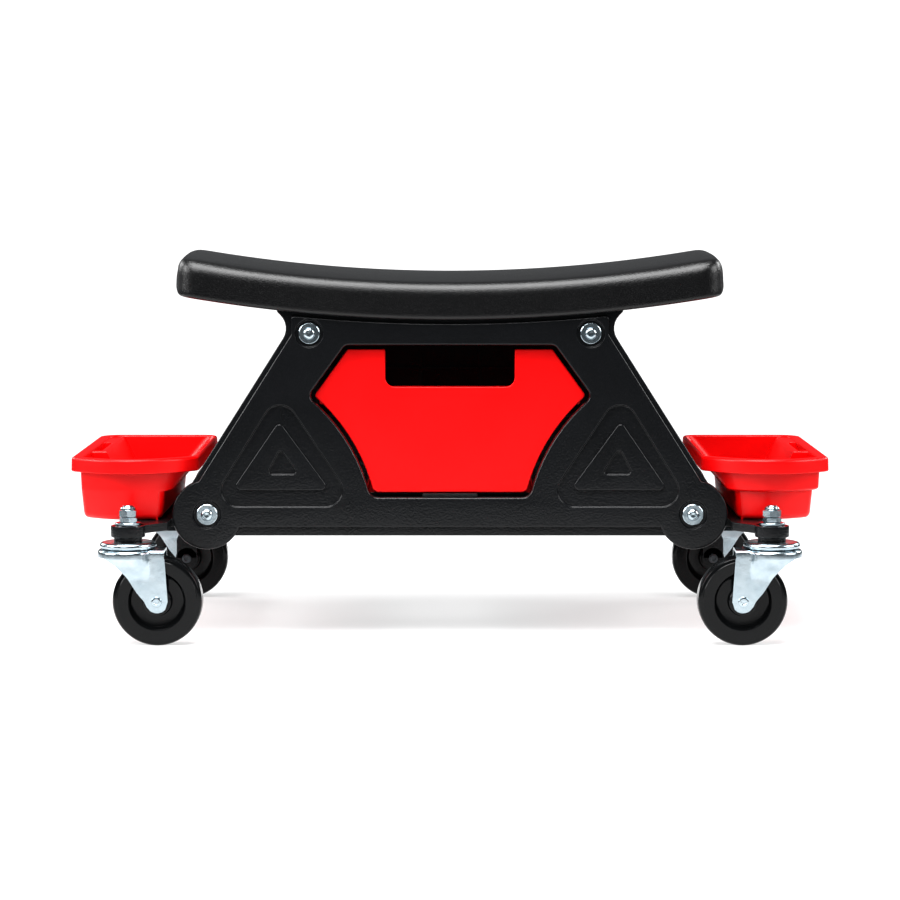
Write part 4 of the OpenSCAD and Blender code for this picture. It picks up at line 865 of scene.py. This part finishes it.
def fork(side, end, name):
    """A fork pressed from one sheet: a round crown with a turned-down edge that runs out into two legs."""
    bm = bmesh.new()
    plan = []
    for k in range(61):
        a = math.radians(-52.4 - (360 - 104.8) * k / 60)
        plan.append(Vector((CROWN_R * math.cos(a), CROWN_R * math.sin(a))))
    front = [Vector((x, -LEG_Y)) for x in (31.5, 29, 26.5, 24, 22, 20.4, 19)]
    front += [Vector((18, -16)), Vector((17, -17.8))]
    plan = front + plan[1:-1] + [Vector((p.x, -p.y)) for p in reversed(front)]
    n = len(plan)
    out = []
    for i, p in enumerate(plan):
        a, b = plan[max(i - 1, 0)], plan[min(i + 1, n - 1)]
        out.append(Vector(((b - a).y, -(b - a).x)).normalized())
    sign = 1 if out[n // 2].dot(plan[n // 2]) > 0 else -1
    out = [o * sign for o in out]
    rows = []
    bend = 3.2
    for a in (0, 0.4, 0.8, 1.2, 1.57):
        r, z = bend * (1 - math.sin(a)), CROWN_TOP - bend + bend * math.cos(a)
        rows.append([Vector((p.x - o.x * r, p.y - o.y * r, z)) for p, o in zip(plan, out)])
    rows.append([Vector((p.x, p.y, SKIRT_Z)) for p in plan])
    depth = 26
    for j in range(1, depth + 1):
        row = []
        for p in plan:
            share = min(max((p.x + 24) / 55.5, 0), 1)
            low = min(leg_bottom(p.x + 3 * share), SKIRT_Z) if p.x > -23.5 else SKIRT_Z
            z = SKIRT_Z + (low - SKIRT_Z) * j / depth
            x = p.x + 3 * share * (CROWN_TOP - z) / (CROWN_TOP - AXLE_Z)
            blend = min(max((SKIRT_Z - z) / 17, 0), 1)
            blend = blend * blend * (3 - 2 * blend)
            y = p.y * (1 - blend) + math.copysign(LEG_Y, p.y) * blend if abs(p.y) > 1 else p.y
            row.append(Vector((x, y, z)))
        rows.append(row)
    grid = [[bm.verts.new(v) for v in row] for row in rows]
    for a, b in zip(grid, grid[1:]):
        for i in range(n - 1):
            quad = [a[i], a[i + 1], b[i + 1], b[i]]
            if (a[i].co - b[i].co).length + (a[i + 1].co - b[i + 1].co).length > 0.02:
                bm.faces.new(quad)
    bm.faces.new(grid[0])
    bmesh.ops.remove_doubles(bm, verts=bm.verts, dist=0.02)
    bmesh.ops.recalc_face_normals(bm, faces=bm.faces)
    top = max(bm.faces, key=lambda f: f.calc_center_median().z)
    if top.normal.z < 0:
        bmesh.ops.reverse_faces(bm, faces=bm.faces)
    bmesh.ops.solidify(bm, geom=list(bm.faces), thickness=SHEET)
    placed(bm, side, end)
    piece(bm, f"dressed_fork_{name}", f"swivel_{name}", zinc, "zinc_plate", [f"fork_{name}"], 50)


def placed(bm, side, end):
    """Moves a caster part from its own frame to its corner; its wheel trails towards the seat's middle."""
    for v in bm.verts:
        v.co = Vector((side * BUSH[0] - side * v.co.x, end * BUSH[1] + v.co.y, v.co.z))


def stem(side, end, name):
    """The stem with its raceway: the threaded end stands above the lock nut."""
    bm = bmesh.new()
    thread = [(4.5 - (0.45 if k % 2 else 0), 24 + 0.55 * k) for k in range(24)]
    lathed(bm, [(0.01, -6), (6.6, -6), (7, -5.6), (7, -3.7), (4.5, -3.4), (4.5, 22)] + thread
           + [(3.6, 37), (0.01, 37)], (0, 0, CROWN_TOP), count=32, closed=False)
    lathed(bm, [(4.4, 6.3), (20.6, 6.3), (22.6, 5.7), (23.8, 4.4), (24.1, 2.9), (23.7, 1.3), (22.6, 0.5),
                (21, 0.4), (20.8, 0.9), (21.9, 2.2), (21.6, 3.6), (20, 4), (4.4, 4)], (0, 0, CROWN_TOP))
    lathed(bm, [(4.4, 0.1), (17, 0.1), (17, 4), (4.4, 4)], (0, 0, 82.2), count=48)
    lathed(bm, [(4.4, 0), (8.7, 0), (9, 0.3), (9, 1.1), (8.7, 1.4), (4.4, 1.4)], (0, 0, 88.1), count=6)
    placed(bm, side, end)
    piece(bm, f"dressed_stem_{name}", "frame", zinc, "zinc_plate", [f"stem_{name}"], 40)


def axle(side, end, name):
    """The riveted axle, with a turned-over head at each end. A back one reaches through the lever's arms."""
    bm = bmesh.new()
    outer = LEG_Y if end < 0 else LEVER_Y + 0.3
    lathed(bm, [(3, -outer - 0.3), (3, outer + 0.3)], (TRAIL, 0, AXLE_Z), "Y", 32, False)
    for turn in (-1, 1):
        head = [(r, turn * (outer + h)) for r, h in (
            (0.01, -0.2), (4.4, -0.2), (4.5, 0.5), (4.1, 1.1),
            (3.1, 1.45), (2.2, 1.3), (1.9, 1), (0.01, 0.95))]
        lathed(bm, head, (TRAIL, 0, AXLE_Z), "Y", 40, False)
    placed(bm, side, end)
    skin, slot = (zinc, "zinc_plate") if end < 0 else (steel, "dark_steel")
    piece(bm, f"dressed_axle_{name}", f"swivel_{name}", skin, slot, [f"axle_{name}"])


for corner in CORNERS:
    fork(*corner)
    stem(*corner)
    axle(*corner)

# The wheels: solid black polypropylene, turned smooth, with dished faces and a raised hub that runs on a
# steel sleeve over the axle.


def wheel_black():
    """Smooth black polypropylene: a little glossier than the panels, with fine rings left by the mould."""
    skin, tree, place = finish_of("smooth_black_polypropylene")
    flow = add(tree, "ShaderNodeTexNoise", {"Vector": place, "Scale": 45, "Detail": 3})
    tone = add(tree, "ShaderNodeMix", {
        "Factor": flow.outputs["Fac"], "A": linear("#090a0b"), "B": linear("#0f1011")}, data_type="RGBA")
    gloss = add(tree, "ShaderNodeMapRange", {"Value": flow.outputs["Fac"], "To Min": 0.1, "To Max": 0.2})
    relief = add(tree, "ShaderNodeBump", {"Height": flow.outputs["Fac"],
                                           "Strength": 0.06, "Distance": 0.0004})
    shader = add(tree, "ShaderNodeBsdfPrincipled", {
        "Base Color": tone.outputs["Result"], "Roughness": gloss.outputs["Result"], "IOR": 1.49,
        "Specular IOR Level": 0.22, "Normal": relief.outputs["Normal"]})
    add(tree, "ShaderNodeOutputMaterial", {"Surface": shader.outputs["BSDF"]})
    return skin


rim_black = wheel_black()
for side, end, name in CORNERS:
    bm = bmesh.new()
    half = [(5.05, 12.4), (11.2, 12.4), (12, 11.8), (12, 7.2), (13, 6), (20.6, 6), (22.2, 6.6), (23.7, 9.6),
            (24.3, 10.6), (25.2, 11), (33.8, 11), (34.2, 10.7), (35.2, 10.7), (36.6, 10.2), (37.6, 9),
            (38, 7.4), (38, 0.5), (37.8, 0.15)]
    profile = half + [(r, -h) for r, h in reversed(half)]
    lathed(bm, profile, (TRAIL, 0, AXLE_Z), "Y", 96)
    placed(bm, side, end)
    piece(bm, f"dressed_wheel_{name}", f"wheel_{name}", rim_black, "wheel_plastic", [f"wheel_{name}"], 28)

# The fixings: zinc-plated button-head screws with hexagon sockets and their washers on the panels, and the
# plain nuts, lock nuts and washers on the caster stems. One drawing of each is set out at its places.


def fixing_tree():
    """Sets one drawn part at each point, turned by the point's own turn."""
    tree = bpy.data.node_groups.new("fixings", "GeometryNodeTree")
    for label, kind in (("Places", "Geometry"), ("Part", "Object"), ("Size", "Float"),
                        ("Finish", "Material")):
        tree.interface.new_socket(label, in_out="INPUT", socket_type=f"NodeSocket{kind}")
    tree.interface.new_socket("Geometry", in_out="OUTPUT", socket_type="NodeSocketGeometry")
    given = add(tree, "NodeGroupInput").outputs
    drawn = add(tree, "GeometryNodeObjectInfo", {"Object": given["Part"]})
    turn = add(tree, "GeometryNodeInputNamedAttribute", {"Name": "turn"}, data_type="FLOAT_VECTOR")
    spin = add(tree, "FunctionNodeEulerToRotation", {"Euler": turn.outputs["Attribute"]})
    set_out = add(tree, "GeometryNodeInstanceOnPoints", {
        "Points": given["Places"], "Instance": drawn.outputs["Geometry"], "Rotation": spin.outputs[0],
        "Scale": given["Size"]})
    real = add(tree, "GeometryNodeRealizeInstances", {"Geometry": set_out.outputs[0]})
    coated = add(tree, "GeometryNodeSetMaterial", {"Geometry": real.outputs[0], "Material": given["Finish"]})
    add(tree, "NodeGroupOutput", {"Geometry": coated.outputs[0]})
    return tree


fixings = fixing_tree()


def hexagon(flats, a):
    """The radius of a hexagon at an angle."""
    return flats / 2 / math.cos((a + math.pi / 6) % (math.pi / 3) - math.pi / 6)


def nut(bm, z, h, flats, bore, collar=0):
    """A hexagon nut with turned chamfers; a lock nut has a rolled collar on top."""
    count = 72
    angles = [math.tau * k / count for k in range(count)]
    rows = []
    for low in (True, False):
        row = []
        for a in angles:
            past = max(hexagon(flats, a) - flats * 0.485, 0) * 0.58
            row.append((min(hexagon(flats, a), flats * 0.485), z if low else z + h, past))
        edge = [(r * math.cos(a), r * math.sin(a), h0) for a, (r, h0, _) in zip(angles, row)]
        side = [(hexagon(flats, a) * math.cos(a), hexagon(flats, a) * math.sin(a), h0 + (p if low else -p))
                for a, (_, h0, p) in zip(angles, row)]
        rows += [edge, side] if low else [side, edge]
    ends = [(bore + 0.7, z + h), (bore, z + h - 0.6), (bore, z + 0.6), (bore + 0.7, z)]
    if collar:
        top = z + h
        ends = [(flats * 0.46, top + 0.2), (flats * 0.455, top + collar * 0.6), (flats * 0.41, top + collar),
                (bore + 0.9, top + collar * 0.75), (bore, top + collar * 0.5)] + ends[2:]
    rows += [[(r * math.cos(a), r * math.sin(a), hh) for a in angles] for r, hh in ends]
    skinned(bm, rows, True)


def screw(bm):
    """A button head with a hexagon socket; its seat is at the origin and its head stands towards -Z."""
    count = 48
    angles = [math.tau * k / count for k in range(count)]
    dome = [(0.02, 12), (3, 12), (3, -0.1), (5.1, -0.1), (5.25, -0.4), (5.2, -1.0), (4.9, -1.8), (4.2, -2.6),
            (3.3, -3.1), (2.7, -3.3)]
    rows = [[(r * math.cos(a), r * math.sin(a), z) for a in angles] for r, z in dome]
    for grow, z in ((1.06, -3.28), (1, -3.1), (1, -1.3), (0.01, -1.1)):
        socket = [(hexagon(4, a) * grow, a) for a in angles]
        rows.append([(r * math.cos(a), r * math.sin(a), z) for r, a in socket])
    skinned(bm, rows)


def washer(bm, bore, outer, t):
    """A flat washer with rolled edges, lying on the origin and standing towards -Z."""
    lathed(bm, [(bore, -0.2), (bore + 0.2, 0), (outer - 0.3, 0), (outer, -0.3), (outer, -t + 0.4),
                (outer - 0.5, -t), (bore + 0.3, -t), (bore, -t + 0.3)], (0, 0, 0), count=56)


def set_out(name, draw, points, turns, hides, crease=35):
    """Draws a part once, sets it at all its points, and ties the result to the frame."""
    bm = bmesh.new()
    draw(bm)
    bmesh.ops.recalc_face_normals(bm, faces=bm.faces)
    bmesh.ops.scale(bm, vec=(0.001,) * 3, verts=bm.verts)
    mesh = bpy.data.meshes.new(name)
    bm.to_mesh(mesh)
    bm.free()
    drawn = bpy.data.objects.new(name + "_drawing", mesh)
    bpy.context.scene.collection.objects.link(drawn)
    made = grown(name, fixings, [[v / 1000 for v in p] for p in points],
                 {"Part": drawn, "Size": 1.0, "Finish": zinc}, turns)
    bpy.data.objects.remove(drawn)
    finished(made, "frame", zinc, "zinc_plate", hides, crease)


NUT_Z, NUT_H, NUT_FLATS, LOCK_Z, LOCK_H, STEM_R = 104.4, 4.4, 14, 109.1, 6, 4.6
WASHER_T = 1.6
bolt_places, bolt_turns = [], []
for end in (-1, 1):
    for side in (-1, 1):
        for x, z in (EAR_BOLT, FOOT):
            bolt_places.append((side * x, end * (-FACE_Y - SUNK), z))
            bolt_turns.append((math.radians(-90 if end < 0 else 90), 0, 0))
set_out("zinc_panel_washers", lambda bm: washer(bm, 3.1, 9, WASHER_T), bolt_places, bolt_turns,
        ["panel_washers"])
on_washers = [(x, y + math.copysign(WASHER_T, y), z) for x, y, z in bolt_places]
set_out("zinc_panel_screws", screw, on_washers, bolt_turns, ["panel_screws"])
stem_places = [(side * BUSH[0], end * BUSH[1], 0) for side, end, _ in CORNERS]
stem_turns = [(0, 0, math.radians(a)) for a in (12, 37, 22, 51)]
set_out("zinc_stem_washers", lambda bm: washer(bm, STEM_R, 11, 2.3),
        [(x, y, NUT_Z) for x, y, _ in stem_places], stem_turns, ["stem_washers"])
set_out("zinc_stem_nuts", lambda bm: nut(bm, NUT_Z, NUT_H, NUT_FLATS, STEM_R),
        stem_places, stem_turns, ["stem_nuts"], 30)
set_out("zinc_lock_nuts", lambda bm: nut(bm, LOCK_Z, LOCK_H, NUT_FLATS, STEM_R, 2.3), stem_places,
        [(0, 0, math.radians(a)) for a in (0, 20, 41, 8)], ["lock_nuts"], 30)

# The brake levers: black glass-filled nylon, one on each back caster. Two cranked arms sit on the axle
# outside the fork legs, and a foot pad joins them over the tread. Pressing the pad turns the lever down.
LEVER_T, PAD_START, PAD_END = 2.5, 47.9, 65.9
for side, name in ((-1, "left"), (1, "right")):
    bm = bmesh.new()
    for y0, y1 in ((-LEVER_Y, LEVER_T - LEVER_Y), (LEVER_Y, LEVER_Y - LEVER_T)):
        arm = rounded([(15.5, AXLE_Z, 0), (34.5, AXLE_Z, 0), (34.5, 56.2, 6), (PAD_END, 66.7, 2),
                       (PAD_END, 72, 1.5), (PAD_START, 72, 2), (15.5, 60, 8)])
        plate(bm, arm, y0, y1, 0.6)
        plate(bm, ring_points((TRAIL, AXLE_Z), 10.5), y0, y1, 0.6, [ring_points((TRAIL, AXLE_Z), 3.1, 24)])
    plate(bm, oblong(PAD_START, -LEVER_Y, PAD_END, LEVER_Y, 2), 73, 69.6, 0.9, place=level)
    for k in range(4):
        plate(bm, oblong(50.2 + k * 4, -15, 51.7 + k * 4, 15, 0.6, 2), 73.6, 72.5, 0.3, place=level)
    placed(bm, side, 1)
    piece(bm, f"dressed_brake_lever_{name}", f"lever_{name}", black, "black_moulding",
          [f"brake_lever_{name}"])

# The hidden steel and brass: sleeves, balls and the screws inside are plain oiled steel, and the threaded
# inserts are turned brass. They keep their drawn shapes.


def turned_brass():
    """Turned brass: warm yellow with fine tool lines round it."""
    skin, tree, place = finish_of("turned_brass")
    lines = add(tree, "ShaderNodeTexNoise", {"Vector": place, "Scale": 500, "Detail": 3})
    tone = add(tree, "ShaderNodeMix", {
        "Factor": lines.outputs["Fac"], "A": linear("#a8843c"), "B": linear("#c9a75a")}, data_type="RGBA")
    gloss = add(tree, "ShaderNodeMapRange", {"Value": lines.outputs["Fac"], "To Min": 0.22, "To Max": 0.4})
    shader = add(tree, "ShaderNodeBsdfPrincipled", {
        "Base Color": tone.outputs["Result"], "Roughness": gloss.outputs["Result"], "Metallic": 1})
    add(tree, "ShaderNodeOutputMaterial", {"Surface": shader.outputs["BSDF"]})
    return skin


for node in ["swivel_balls", "shelf_screws", "seat_screws"] + [f"sleeve_{name}" for _, _, name in CORNERS]:
    refinish(node, steel)
refinish("panel_inserts", turned_brass())
